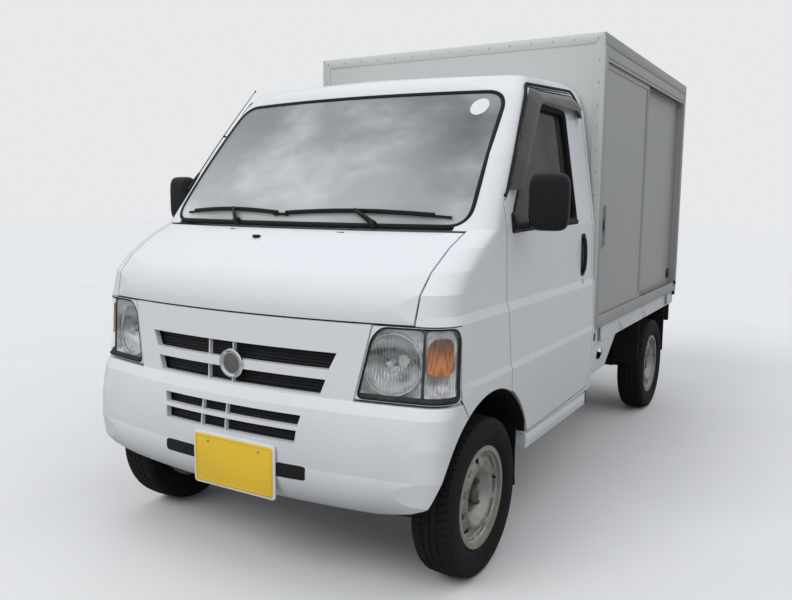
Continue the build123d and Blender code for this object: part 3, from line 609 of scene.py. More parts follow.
def metal_sheet(name, colour, along, grain, rough, metallic, edge, front=1.0):
    """Satin sheet metal: rolled grain along one axis, clouds of oxide and a few rubbed spots. The
    box body's front face can be made paler by a factor: a painted highlight of the sky it faces."""
    book = Book(name)
    stretch = {"X": (0.03, 1, 1), "Y": (1, 0.03, 1), "Z": (1, 1, 0.03)}[along]
    rolled = book.noise(240.0, 3.0, 0.6, stretch)
    cloud = book.noise(1.7, 5.0, 0.6)
    stain = book.noise(6.5, 6.0, 0.7, (1, 1, 0.35))
    tone = book.mix(book.band(cloud, 0.3, 0.72), times(colour, 0.93), colour)
    tone = book.mix(book.band(stain, 0.55, 0.85, 0.0, 0.16), tone, times(colour, 0.8))
    # Painted highlight: the box's front face is made paler by the factor front.
    if front != 1.0:
        face = front_axle_y + box_front
        tone = book.mix(book.band(book.axis("Y"), face + 0.0012, face + 0.0004), tone,
                        times(colour, front))
    satin = book.band(rolled, 0.3, 0.7, -grain, grain)
    satin = satin + book.band(cloud, 0.3, 0.7, rough - 0.05, rough + 0.07)
    return book.finish({
        "Base Color": tone, "Metallic": metallic, "Roughness": satin,
        "Normal": book.bump(rolled, 0.0002, 0.05, edge),
    })


def moulding(name, colour, rough, grain=0.35, dust=0.25):
    """Moulded plastic or dull painted steel: a fine leather grain and dust on what faces up."""
    book = Book(name)
    grit = book.noise(900.0, 2.0, 0.6)
    cloud = book.noise(7.0, 4.0, 0.6)
    facing = book.node("ShaderNodeSeparateXYZ", {},
                       {0: book.node("ShaderNodeNewGeometry", {}, {}, "Normal")}, "Z")
    settled = book.band(facing, 0.2, 1.0, 0.0, dust) * book.band(cloud, 0.3, 0.7, 0.3, 1.0)
    tone = book.mix(settled, colour, (0.16, 0.15, 0.14))
    tone = book.mix(book.band(cloud, 0.4, 0.75, 0.0, 0.25), tone,
                    tuple(c * 1.5 + 0.004 for c in colour))
    return book.finish({
        "Base Color": tone, "Roughness": book.band(cloud, 0.3, 0.7, rough - 0.06, rough + 0.08),
        "Specular IOR Level": 0.3, "Normal": book.bump(grit, 0.0004, grain, 0.0015),
    })


def underside(name, colour, rust):
    """Chassis paint: dull black with dried mud and rust coming through in patches."""
    book = Book(name)
    cloud = book.noise(9.0, 6.0, 0.68)
    mud = book.noise(22.0, 6.0, 0.7)
    tone = book.mix(book.band(cloud, 0.52, 0.74, 0.0, rust), colour, (0.16, 0.065, 0.028))
    tone = book.mix(book.band(mud, 0.45, 0.7, 0.0, 0.45), tone, (0.13, 0.115, 0.10))
    return book.finish({
        "Base Color": tone, "Roughness": book.band(mud, 0.3, 0.7, 0.55, 0.85),
        "Normal": book.bump(mud, 0.0012, 0.5, 0.002),
    })


def tyre_rubber(name, colour, wheel_y):
    """Tyre rubber: dust lies in a band on the sidewall, found from the distance to the axle, and
    the tread is a little greyer with grit."""
    book = Book(name)
    y = book.axis("Y") - (wheel_y + front_axle_y)
    z = book.axis("Z") - wheel_height
    reach = (y * y + z * z) ** 0.5
    grit = book.noise(140.0, 5.0, 0.7)
    cloud = book.noise(11.0, 4.0, 0.6)
    dusty = book.band(cloud, 0.35, 0.7, 0.10, 0.40) * book.band(reach, 0.20, 0.262, 0.30, 1.0)
    tone = book.mix(dusty, colour, (0.034, 0.032, 0.030))
    tone = book.mix(book.band(grit, 0.62, 0.78, 0.0, 0.3), tone, (0.050, 0.047, 0.044))
    fine = (reach * 900.0).sine()
    return book.finish({"Base Color": tone, "Roughness": book.band(cloud, 0.3, 0.7, 0.62, 0.82),
                        "Specular IOR Level": 0.25,
                        "Normal": book.bump(fine * 0.3 + grit, 0.0006, 0.35, 0.001)})


def wheel_paint(name, colour, wheel_y):
    """Silver wheel paint with brown brake dust near the vents and rust along the lip. The hub's
    middle is painted near-black as the shade of its recess, and each vent, only a dent in the disc,
    is painted near-black as a hole's dark inside.
    """
    book = Book(name)
    y = book.axis("Y") - (wheel_y + front_axle_y)
    z = book.axis("Z") - wheel_height
    reach = (y * y + z * z) ** 0.5
    cloud = book.noise(16.0, 5.0, 0.65)
    speck = book.noise(90.0, 4.0, 0.7)
    lip = book.band(reach, 0.148, 0.160) * book.band(cloud, 0.25, 0.6, 0.35, 0.95)
    vent = book.band(reach, 0.13, 0.105) * book.band(reach, 0.085, 0.10)
    angle = z.math("ARCTAN2", z, y)
    beat = z.math("FRACT", angle * (wheel_vents / (2 * np.pi)) + wheel_vents)
    along = (beat - 0.5) * (2 * np.pi / wheel_vents) * reach / 0.0140
    over = (reach - vent_circle) / 0.0122
    # Painted shade: each sunk vent is painted near-black where an open hole would show dark.
    hole = book.band(along * along + over * over, 1.15, 0.80)
    tone = book.mix((vent * 0.5 + book.band(cloud, 0.45, 0.7, 0.0, 0.45)).limited(), colour,
                    (0.17, 0.155, 0.125))
    tone = book.mix(lip * 0.75, tone, (0.36, 0.31, 0.22))
    tone = book.mix(book.band(speck, 0.62, 0.72, 0.0, 0.6), tone, (0.17, 0.085, 0.045))
    # Painted shade: the middle round the hub darkens to near-black, the shade of its recess.
    tone = book.mix(book.band(reach, 0.074, 0.044, 0.0, 0.95), tone, (0.034, 0.030, 0.025))
    tone = book.mix(hole, tone, (0.004, 0.004, 0.004))
    return book.finish({"Base Color": tone, "Metallic": (1.0 - hole) * 0.35,
                        "Roughness": book.band(cloud, 0.3, 0.7, 0.38, 0.62) + hole * 0.3,
                        "Normal": book.bump(speck, 0.0005, 0.35, 0.002)})


def glass(name, tint, alpha, rough, film, shine):
    """Window glass: a see-through gloss layer with a cloudy film of dust."""
    book = Book(name)
    cloud = book.noise(3.2, 5.0, 0.6)
    veil = book.noise(34.0, 4.0, 0.7)
    cover = book.band(cloud, 0.35, 0.75, alpha, alpha + film)
    cover = cover + book.band(veil, 0.55, 0.8, 0.0, 0.04)
    return book.finish({"Base Color": book.mix(book.band(cloud, 0.3, 0.7), tint,
                                               tuple(c * 0.8 + 0.06 for c in tint)),
                        "Roughness": book.band(veil, 0.3, 0.75, rough, rough + 0.05),
                        "Alpha": cover.limited(), "Coat Weight": shine * 0.6,
                        "Coat Roughness": 0.01, "Specular IOR Level": shine})


def sky_glass(name, dark, pale):
    """Windscreen: a painted reflection of the sky over a dust film, pale low down and in drifting
    patches and dark towards the roof and the left pillar, thin enough to show the seats faintly."""
    book = Book(name)
    drift = book.noise(1.5, 4.0, 0.55, (1.0, 1.0, 1.6))
    veil = book.noise(30.0, 4.0, 0.7)
    # Painted reflection: the colour goes from dark to pale with height, side and drifting patches.
    low = book.band(book.axis("Z"), 1.62, 1.20, 0.0, 0.45)
    aside = book.band(book.axis("X"), 0.64, 0.25, 0.0, 0.35)
    share = (low + aside + book.band(drift, 0.38, 0.66, -0.20, 0.36)).limited()
    return book.finish({"Base Color": book.mix(share, dark, pale),
                        "Roughness": book.band(veil, 0.3, 0.75, 0.02, 0.06),
                        "Alpha": (share * 0.16 + book.band(veil, 0.55, 0.8, 0.56, 0.60)).limited(),
                        "Coat Weight": 0.4, "Coat Roughness": 0.01})


def clear_lens(name, tint, alpha):
    """Lamp lens: clear plastic, slightly yellowed and hazed towards its upper edge."""
    book = Book(name)
    cloud = book.noise(14.0, 4.0, 0.6)
    haze = book.band(book.axis("Z"), 0.82, 0.87, 0.0, 0.14) + book.band(cloud, 0.4, 0.75, 0.0, 0.05)
    return book.finish({
        "Base Color": book.mix(book.band(cloud, 0.3, 0.7), tint, times(tint, 0.85)),
        "Roughness": book.band(cloud, 0.3, 0.7, 0.04, 0.12), "Alpha": (haze + alpha).limited(),
        "Coat Weight": 1.0, "Coat Roughness": 0.02,
    })


def bright(name, colour, rough):
    """Bright metal such as chrome, dulled by specks and a thin haze."""
    book = Book(name)
    cloud = book.noise(30.0, 4.0, 0.6)
    speck = book.noise(260.0, 3.0, 0.6)
    return book.finish({
        "Base Color": book.mix(book.band(cloud, 0.3, 0.7, 0.0, 0.6), colour, times(colour, 0.78)),
        "Metallic": 1.0, "Roughness": book.band(cloud, 0.3, 0.75, rough, rough + 0.12),
        "Normal": book.bump(speck, 0.0002, 0.15, 0.0008),
    })


def fluted(name, colour, pitch):
    """Aluminised lamp reflector pressed in vertical flutes: each flute has a bright crest and
    painted shade in its valley, wandering a little, and broad dark zones are a painted reflection
    of the ground."""
    book = Book(name)
    across = book.axis("X") * (2 * np.pi / pitch) + book.axis("Y") * (np.pi / pitch)
    drift = book.noise(22.0, 2.0, 0.5)
    wave = (across + drift * 9.0).sine()
    zone = book.noise(9.0, 3.0, 0.6, (1.0, 1.0, 1.6))
    height = book.axis("Z") + drift * 0.03
    # Painted shade in the flute valleys, and a painted reflection of the ground at mid height and
    # in patches.
    valley = book.band(wave, 0.6, -0.9) * book.band(zone, 0.35, 0.65, 0.04, 0.26)
    ground = book.band(height, 0.735, 0.765, 0.0, 0.55) * book.band(height, 0.815, 0.790)
    ground = ground + book.band(zone, 0.50, 0.64, 0.0, 0.30)
    tone = book.mix((valley + ground).limited(), colour,
                    tuple(c * t for c, t in zip(colour, (0.13, 0.135, 0.11))))
    return book.finish({
        "Base Color": tone, "Metallic": 0.50, "Roughness": book.band(zone, 0.3, 0.7, 0.14, 0.26),
        "Normal": book.bump(wave, 0.0008, 0.35),
    })


def tinted(name, colour):
    """Coloured lens of a tail lamp, with a fine cross ribbing in its thickness."""
    book = Book(name)
    fine = (book.axis("Z") * 1500.0).sine()
    cross = (book.axis("X") * 1500.0).sine()
    cloud = book.noise(20.0, 4.0, 0.6)
    tone = book.mix(book.band(cloud, 0.3, 0.7), colour, times(colour, 0.7))
    return book.finish({
        "Base Color": tone, "Roughness": book.band(cloud, 0.3, 0.7, 0.15, 0.25),
        "Coat Weight": 0.8, "Normal": book.bump(fine * cross, 0.0006, 0.25, 0.0008),
    })


def amber_lens(name, low, high):
    """Ribbed amber lens: orange below, browner towards its top, painted shade as a dark line
    between the ribs and a faint painted glow.
    """
    book = Book(name)
    place = book.axis("X") - book.axis("Y")
    rib = (place * 950.0).sine()
    cloud = book.noise(38.0, 3.0, 0.6)
    share = book.band(book.axis("Z") + cloud * 0.02, 0.765, 0.835)
    tone = book.mix(share, low, high)
    # Painted shade: a dark line in each trough between the ribs.
    tone = book.mix(book.band(rib, 0.2, -0.9, 0.0, 0.55), tone, times(high, 0.35))
    return book.finish({
        "Base Color": tone, "Roughness": book.band(cloud, 0.3, 0.7, 0.12, 0.24), "Coat Weight": 0.8,
        # Painted glow: a faint emission, though the lamp is off.
        "Emission Color": tone, "Emission Strength": 0.05, "Normal": book.bump(rib, 0.0006, 0.3),
    })


def enamel(name, colour):
    """Enamelled plate: an even colour with fine scratches and dirt collected low."""
    book = Book(name)
    scratch = book.noise(60.0, 4.0, 0.7, (0.15, 1, 1))
    cloud = book.noise(9.0, 4.0, 0.6)
    tone = book.mix(book.band(cloud, 0.4, 0.75, 0.0, 0.15), colour, times(colour, 0.6))
    return book.finish({
        "Base Color": tone, "Roughness": book.band(scratch, 0.3, 0.7, 0.30, 0.42),
        "Coat Weight": 0.3, "Normal": book.bump(scratch, 0.0003, 0.2, 0.001),
    })


def cloth(name, colour):
    """Woven seat cloth: two crossed rows of threads with a soft sheen and worn patches."""
    book = Book(name)
    across = (book.axis("X") * 1100.0).sine()
    along = ((book.axis("Y") + book.axis("Z")) * 1100.0).sine()
    weave = across * along
    cloud = book.noise(8.0, 4.0, 0.6)
    tone = book.mix(book.band(weave, -1.0, 1.0), times(colour, 0.85), times(colour, 1.15))
    tone = book.mix(book.band(cloud, 0.5, 0.8, 0.0, 0.3), tone, (0.24, 0.235, 0.23))
    return book.finish({
        "Base Color": tone, "Roughness": book.band(cloud, 0.3, 0.7, 0.8, 0.95), "Sheen Weight": 0.3,
        "Normal": book.bump(weave, 0.0006, 0.25),
    })


def studio_floor(name, colour):
    """The pale floor: even, with the faintest clouding. Only the camera sees it that pale; the
    light that it throws back is that of a darker ground."""
    book = Book(name)
    cloud = book.noise(1.2, 4.0, 0.55)
    tone = book.mix(book.band(cloud, 0.3, 0.7), colour, times(colour, 0.97))
    seen = book.node("ShaderNodeLightPath", {}, {}, "Is Camera Ray")
    tone = book.mix(seen, times(colour, 0.42), tone)
    return book.finish({"Base Color": tone, "Roughness": 0.75, "Specular IOR Level": 0.3})


# Settings


class TruckColours(bpy.types.PropertyGroup):
    cab: bpy.props.FloatVectorProperty(
        name="Cab paint", description="Colour of the cab's paint", subtype="COLOR",
        default=(0.78, 0.795, 0.82), min=0.0, max=1.0)
    box: bpy.props.FloatVectorProperty(
        name="Box panels", description="Colour of the box body's aluminium sheet", subtype="COLOR",
        default=(0.47, 0.475, 0.465), min=0.0, max=1.0)
    frame_paint: bpy.props.FloatVectorProperty(
        name="Frame", description="Colour of the frame and running gear", subtype="COLOR",
        default=(0.022, 0.021, 0.020), min=0.0, max=1.0)
    plate: bpy.props.FloatVectorProperty(
        name="Number plate", description="Colour of the blank number plate", subtype="COLOR",
        default=(0.86, 0.56, 0.03), min=0.0, max=1.0)
    rubber: bpy.props.FloatVectorProperty(
        name="Tyres", description="Colour of the tyre rubber", subtype="COLOR",
        default=(0.006, 0.006, 0.0065), min=0.0, max=1.0)
    wheel: bpy.props.FloatVectorProperty(
        name="Wheels", description="Colour of the steel wheels", subtype="COLOR",
        default=(0.40, 0.395, 0.37), min=0.0, max=1.0)
    seat: bpy.props.FloatVectorProperty(
        name="Seats", description="Colour of the seat cloth", subtype="COLOR",
        default=(0.16, 0.17, 0.18), min=0.0, max=1.0)


class TruckSizes(bpy.types.PropertyGroup):
    groove: bpy.props.FloatProperty(
        name="Tread depth", description="Depth of the tyre's grooves", subtype="DISTANCE",
        default=0.006, min=0.0, max=0.01)
    tread_blocks: bpy.props.IntProperty(
        name="Tread blocks", description="Blocks round one tyre", default=64, min=24, max=96)
    sight_border: bpy.props.FloatProperty(
        name="Glass border", description="Width of the dark border of the windscreen",
        subtype="DISTANCE", default=0.024, min=0.01, max=0.08)
    fin_pitch: bpy.props.FloatProperty(
        name="Fin pitch", description="Distance between the dark slats behind the grille",
        subtype="DISTANCE", default=0.012, min=0.006, max=0.03)


def colours():
    return bpy.context.scene.truck_colours


def sizes():
    return bpy.context.scene.truck_sizes


finishes = {}


def finish_of(key):
    """Each finish is made once, when it is first asked for. A tyre's or a wheel's key also says
    where its axle is."""
    if key in finishes:
        return finishes[key]
    c = colours()
    aluminium, pale = tuple(c.box), times(c.box, 0.90)
    table = {
        "cab": (paint, "cab paint", tuple(c.cab), 0.32, 0.0),
        "bumper": (paint, "bumper paint", tuple(c.cab), 0.55, 0.0),
        "bed": (paint, "bed paint", times(c.cab, 0.9), 0.9, 0.003),
        # The last number of the box sheet and of its profiles is the painted highlight of the box's
        # front face.
        "sheet": (metal_sheet, "box sheet", aluminium, "Z", 0.05, 0.40, 0.35, 0.0, 1.5),
        "profile": (metal_sheet, "box profiles", pale, "Y", 0.02, 0.38, 0.5, 0.002, 1.75),
        "latch": (metal_sheet, "latch plate", (0.24, 0.24, 0.235), "Z", 0.05, 0.36, 0.8, 0.0),
        "zinc": (metal_sheet, "plated steel", (0.55, 0.54, 0.52), "Y", 0.1, 0.38, 0.9, 0.001),
        # Near-black sheet inside the front wheel arches: painted shade.
        "underbody": (moulding, "arch liner", (0.006, 0.006, 0.006), 0.8, 0.5, 0.0),
        "frame": (underside, "frame paint", tuple(c.frame_paint), 0.3),
        "rusty": (underside, "bare steel parts", (0.10, 0.085, 0.07), 0.7),
        "black": (moulding, "black moulding", (0.008, 0.008, 0.009), 0.48, 0.35, 0.10),
        "seal": (moulding, "rubber seal", (0.007, 0.007, 0.007), 0.65, 0.2, 0.10),
        "dash": (moulding, "dashboard moulding", (0.085, 0.088, 0.095), 0.6),
        "trim": (moulding, "pale trim", (0.30, 0.30, 0.30), 0.6),
        "visor": (glass, "smoked visor", (0.020, 0.017, 0.015), 0.84, 0.10, 0.10, 0.35),
        "screen": (sky_glass, "windscreen glass", (0.19, 0.21, 0.21), (0.80, 0.84, 0.83)),
        "window": (glass, "side glass", (0.016, 0.021, 0.019), 0.84, 0.015, 0.08, 0.12),
        "lens": (clear_lens, "lamp lens", (0.46, 0.48, 0.46), 0.03),
        "chrome": (bright, "chrome", (0.80, 0.81, 0.83), 0.06),
        "reflector": (fluted, "lamp reflector", (0.90, 0.91, 0.92), 0.0105),
        "amber": (amber_lens, "amber lens", (0.74, 0.24, 0.05), (0.19, 0.080, 0.040)),
        "red": (tinted, "red lens", (0.42, 0.012, 0.010)),
        "plate": (enamel, "plate enamel", tuple(c.plate)),
        "white": (enamel, "white enamel", (0.78, 0.79, 0.80)),
        "cloth": (cloth, "seat cloth", tuple(c.seat)),
    }
    for y in (0.0, wheelbase):
        table["tyre", y] = (tyre_rubber, f"tyre rubber {y:.1f}", tuple(c.rubber), y)
        table["wheel", y] = (wheel_paint, f"wheel paint {y:.1f}", tuple(c.wheel), y)
    maker, *values = table[key]
    finishes[key] = maker(*values)
    return finishes[key]


# Pieces


def ribbon(surface, line_a, line_b, lifts, thick):
    """A thin strip between two lines on a surface. Column k runs from line_a to line_b with the
    given lifts, and the strip has that thickness inwards."""
    a, b, lifts = (np.asarray(values, float) for values in (line_a, line_b, lifts))
    t = np.linspace(0, 1, lifts.shape[-1])[None, :, None]
    flat = a[:, None] * (1 - t) + b[:, None] * t
    lifts = np.broadcast_to(lifts, flat.shape[:2])
    top = surface(flat[..., 0], flat[..., 1], lifts)
    under = surface(flat[..., 0], flat[..., 1], lifts - thick)
    ring = np.concatenate([top, under[:, ::-1]], 1)
    rows, columns = ring.shape[:2]
    faces = grid_faces(rows, columns, close_columns=True)
    last = (rows - 1) * columns
    half = columns // 2
    for k in range(half - 1):
        faces.append((k + 1, k, columns - 1 - k, columns - 2 - k))
        faces.append((last + k, last + k + 1, last + columns - 2 - k, last + columns - 1 - k))
    return outward(ring.reshape(-1, 3), faces)


def line(*points, count=12):
    """Evenly spread points along straight runs."""
    points = np.asarray(points, float)
    at = run_lengths(points)
    s = np.linspace(0, at[-1], count)
    return stacked(*[np.interp(s, at, column) for column in points.T])


def spread(loop, count):
    """A closed loop with its points spread evenly along it."""
    loop = np.asarray(loop, float)
    closed = np.concatenate([loop, loop[:1]])
    at = run_lengths(closed)
    s = np.linspace(0, at[-1], count, endpoint=False)
    return stacked(*[np.interp(s, at, column) for column in closed.T])


def wrapped(path):
    """A surface across the truck that follows a path of y and z: its coordinates are x and the
    length along the path, and it lifts to the path's left. The path's length comes with it."""
    path = np.asarray(path, float)
    at = run_lengths(path)
    along = np.gradient(path, at, axis=0)
    along /= np.linalg.norm(along, axis=1)[:, None]

    def surface(x, s, lift):
        y, z, ty, tz = (np.interp(s, at, column) for column in (*path.T, *along.T))
        return stacked(x, y - tz * lift, z + ty * lift)

    return surface, at[-1]


def flat_across(y):
    """A surface that stands across the truck at y, facing the front."""
    return lambda x, z, lift: stacked(x, y - lift, z)


def flat_along(x):
    """A surface that stands along the truck's left side at x, facing outwards."""
    return lambda y, z, lift: stacked(x + lift, y, z)


class TRUCK_OT_cad_finishes(bpy.types.Operator):
    """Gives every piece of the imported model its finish"""
    bl_idname = "truck.cad_finishes"
    bl_label = "Finish the body"

    def execute(self, context):
        table = {
            "cab": ("cab_shell", "front_fenders", "hood", "door_left", "door_right"),
            "bumper": ("bumper_fascia",),
            "sheet": ("side_door_front_left", "side_door_rear_left", "side_door_front_right",
                      "side_door_rear_right", "rear_door_left", "rear_door_right", "box_shell"),
            "bed": ("cargo_bed",),
            "frame": ("frame_rails", "front_suspension", "rear_axle", "knuckle_left",
                      "knuckle_right", "fuel_tank"),
            "rusty": ("engine_block", "exhaust"),
            "black": ("grille_core", "wipers", "door_left_fittings", "door_right_fittings",
                      "steering_wheel"),
            "dash": ("dashboard",),
            "cloth": ("seats",),
            "screen": ("cab_glass",),
            "window": ("door_left_glass", "door_right_glass"),
            "lens": ("headlamp_lenses",),
            "reflector": ("headlamp_housings",),
            "red": ("tail_lamps",),
            "seal": ("mud_guards",),
            "plate": ("number_plate",),
        }
        for name, y, _ in wheel_places:
            table["wheel", y] = table.get(("wheel", y), ()) + ("rim_" + name,)
            table["tyre", y] = table.get(("tyre", y), ()) + ("tyre_" + name,)
        for key, names in table.items():
            for name in names:
                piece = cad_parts[name]
                piece.data.materials.clear()
                piece.data.materials.append(finish_of(key))
        return {"FINISHED"}


class TRUCK_OT_tyres(bpy.types.Operator):
    """Makes the four tyres: a turned section whose tread sinks into grooves"""
    bl_idname = "truck.tyres"
    bl_label = "Tyres"

    def execute(self, context):
        blocks, depth = sizes().tread_blocks, sizes().groove
        half = [(-0.0548, 0.1566), (-0.0548, 0.1692), (-0.060, 0.1745), (-0.0655, 0.186),
                (-0.0700, 0.199), (-0.0722, 0.2135), (-0.0715, 0.2225), (-0.0722, 0.2245),
                (-0.0712, 0.2320), (-0.0690, 0.2405), (-0.0700, 0.2425), (-0.0655, 0.2510),
                (-0.0600, 0.2570), (-0.0535, 0.2605)]
        crown = np.linspace(-0.0500, 0.0500, 29)
        tread = [(x, 0.264 - 0.0034 * (x / 0.05) ** 2 - 0.00005) for x in crown]
        back = [(-x, r) for x, r in half[::-1]]
        inner = [(0.046, 0.1575), (0.058, 0.190), (0.064, 0.214), (0.055, 0.240), (0.036, 0.253),
                 (-0.036, 0.253), (-0.055, 0.240), (-0.064, 0.214), (-0.058, 0.190),
                 (-0.046, 0.1575)]
        section = np.array(half + tread + back + inner)

        def tread_wave(t, place, radius):
            """Grooves: three round the tyre that weave with the blocks, and slots across the
            shoulders, all as smooth steps of a cosine."""
            on = (radius > 0.2600) * (np.abs(place) < 0.0545)
            weave = 0.0016 * np.sin(blocks * t)
            rings = sum(np.exp(-((place - c - weave) / 0.0026) ** 4) for c in (-0.024, 0.0, 0.024))
            slots = np.exp(-(np.sin(blocks * t / 2 + 30 * np.abs(place)) / 0.22) ** 4)
            slots = slots * ((np.abs(place) > 0.027) + 0.45 * (np.abs(place) < 0.021))
            return -depth * np.clip(rings + slots, 0, 1) * on

        shape = turned(section, (0, 0, 0), "x", 384, tread_wave)
        for name, y, side in wheel_places:
            put("tyre_cover_" + name, at_wheel(shape, y, side), ("tyre", y), 50,
                ("tyre_" + name,), "wheel_" + name)
        return {"FINISHED"}


class TRUCK_OT_wheels(bpy.types.Operator):
    """Makes the discs of the four steel wheels with their sunk vents, and adds nuts, hub cap and
    valve"""
    bl_idname = "truck.wheels"
    bl_label = "Wheel nuts"

    def execute(self, context):
        nut = plate(ellipse((0, 0), 0.0105, 6), 0.0138, 0.0290, "yz", 0.0016, 2)
        stud = plate(rounded(0.012, 0.012, 0.0058, 6), 0.026, 0.0335, "yz", 0.0012, 2)
        seat = turned([(0.0135, 0.009), (0.0135, 0.0155), (0.0165, 0.0130), (0.0165, 0.009)],
                      (0, 0, 0), "x", 20)
        four = [(0, 0.050 * np.cos(a), 0.050 * np.sin(a)) for a in np.pi / 4 + even_turns(4)]
        nuts = copies(joined(nut, stud, seat), four)
        cap = turned([(0.0235, 0.0), (0.0240, 0.0240), (0.034, 0.0235), (0.040, 0.0190),
                      (0.043, 0.010), (0.0435, 0.0)], (0, 0, 0), "x", 32)
        valve = tube([(0.030, 0.118, 0.03), (0.046, 0.116, 0.03), (0.058, 0.112, 0.03)],
                     [0.004, 0.0042, 0.0034], 10, (0, 0, 1))
        face = [(0.0145, 0.024), (0.0145, 0.056), (0.0170, 0.066), (0.0270, 0.0745),
                (0.0430, 0.0830), (0.0505, 0.0900), (0.0525, 0.0960), (0.0518, 0.1020),
                (0.0490, 0.1090), (0.0450, 0.1170), (0.0400, 0.1250), (0.0340, 0.1320),
                (0.0320, 0.1370), (0.0360, 0.1415), (0.0440, 0.1440), (0.0480, 0.1480),
                (0.0490, 0.1560), (0.0500, 0.1640), (0.0530, 0.1672), (0.0560, 0.1665),
                (0.0565, 0.1630), (0.0535, 0.1590)]
        points, faces = turned(face + [(x - 0.0026, r - 0.0006) for x, r in face[::-1]], (0, 0, 0),
                               "x", 320)
        angle = np.arctan2(points[:, 2], points[:, 1])
        reach = np.hypot(points[:, 1], points[:, 2])
        beat = (angle / (2 * np.pi) * wheel_vents) % 1.0 - 0.5
        along = beat * 2 * np.pi / wheel_vents * reach / 0.0145
        over = (reach - vent_circle) / 0.0128
        sink = np.exp(-(np.abs(along) ** 3 + np.abs(over) ** 3) ** 1.5)
        disc = (points - stacked(0.0150 * sink, 0, 0), faces)
        for name, y, side in wheel_places:
            for part, shape, finish in (("disc_", disc, ("wheel", y)), ("nuts_", nuts, "rusty"),
                                        ("hub_cap_", cap, "rusty"), ("valve_", valve, "seal")):
                put(part + name, at_wheel(shape, y, side), finish, 30,
                    body="wheel_" + name)
        return {"FINISHED"}


class TRUCK_OT_grille(bpy.types.Operator):
    """Sets dark slats behind the grille openings, ribbed inserts in the lowest ones and a plain
    round boss in the middle"""
    bl_idname = "truck.grille"
    bl_label = "Grille"

    def execute(self, context):
        pitch = sizes().fin_pitch
        slats = []
        for low, high, half in ((0.634, 0.780, 0.398), (0.484, 0.584, 0.296),
                                (0.370, 0.416, 0.280)):
            for z in np.arange(low + pitch / 2, high, pitch):
                slats.append(tube(nose_at(np.linspace(-half, half, 25), z, -0.034), 0.0075, 8))
        put("grille_slats", joined(*slats), "black", 50)
        inserts = []
        for x0, x1, z0, z1 in ((-0.272, -0.128, 0.3785, 0.4205), (0.205, 0.312, 0.3785, 0.4245)):
            x = np.linspace(x0, x1, 40)
            edge = 0.006 * np.abs(2 * np.linspace(0, 1, 40) - 1) ** 12
            lifts = 0.0004 + 0.0006 * np.abs(np.sin(np.linspace(0, 4 * np.pi, 33)))
            lifts[[0, -1]] = -0.001
            inserts.append(ribbon(nose_at, stacked(x, z0 + edge), stacked(x, z1 - edge), lifts,
                                  0.0018))
        put("grille_inserts", joined(*inserts), "black", 40)
        ring = turned([(0.0, 0.030), (0.0, 0.047), (-0.007, 0.0485), (-0.012, 0.046),
                       (-0.0125, 0.041), (-0.008, 0.037), (-0.006, 0.030)], (0, 0, 0), "y", 64)
        disc = turned([(0.0, 0.0), (0.0, 0.040), (-0.0062, 0.0385), (-0.0085, 0.025),
                       (-0.0092, 0.0)], (0, 0, 0), "y", 64)
        _, y, z = nose_at(0.0, 0.703)
        for name, part, key in (("boss_ring", ring, "chrome"), ("boss_disc", disc, "latch")):
            leaning = spun(moved(part, (0, y + 0.003, z)), (0, y, z), (1, 0, 0), 3.0)
            put(name, leaning, key, 30)
        return {"FINISHED"}


class TRUCK_OT_plate(bpy.types.Operator):
    """Makes the blank number plate with its pale frame and two bolts"""
    bl_idname = "truck.number_plate"
    bl_label = "Number plate"

    def execute(self, context):
        x, y, z = 0.040, -0.4532, 0.388
        holder = plate(rounded(0.340, 0.175, 0.012), y + 0.0012, y + 0.0080, "xz", 0.0015, 2,
                       (x, 0, z))
        arm = brick((x - 0.055, -0.450, 0.425), (x + 0.055, -0.430, 0.466), 0.003)
        put("plate_frame", joined(holder, arm), "white", 30, ("number_plate",))
        face = plate(rounded(0.326, 0.161, 0.010), y, y + 0.0020, "xz", 0.0006, 2, (x, 0, z))
        rim = loop_bar(stood(rounded(0.314, 0.149, 0.009) + (x, z), y + 0.0004), 0.0016, 8,
                       (0, 1, 0))
        put("plate_face", joined(face, rim), "plate", 30)
        bolt = turned([(0.0, 0.0), (0.0, 0.0072), (-0.0008, 0.0070), (-0.0020, 0.0050),
                       (-0.0023, 0.0)], (0, y + 0.002, z + 0.058), "y", 24)
        put("plate_bolts", copies(bolt, [(x - 0.105, 0, 0), (x + 0.105, 0, 0)]),
            "zinc", 30)
        return {"FINISHED"}


# Rear edge of the lamp on the fender
lamp_rear = -0.231


def lamp_loop(u0_low, u0_high, u1_low, u1_high, low, high, radius, count, cut=(0.0, 0.0)):
    """A lamp outline in arc length and height, its corners rounded, the upper ones cut off by that
    much on the inner and the outer side."""
    inner, outer = cut
    corners = [(u0_low, low), (u1_low, low), (u1_high, high - outer)]
    if outer:
        corners.append((u1_high - outer * 0.7, high))
    if inner:
        corners.append((u0_high + inner * 0.7, high))
    corners.append((u0_high - inner * 0.25, high - inner))
    return spread(softened(corners, radius, 7), count)


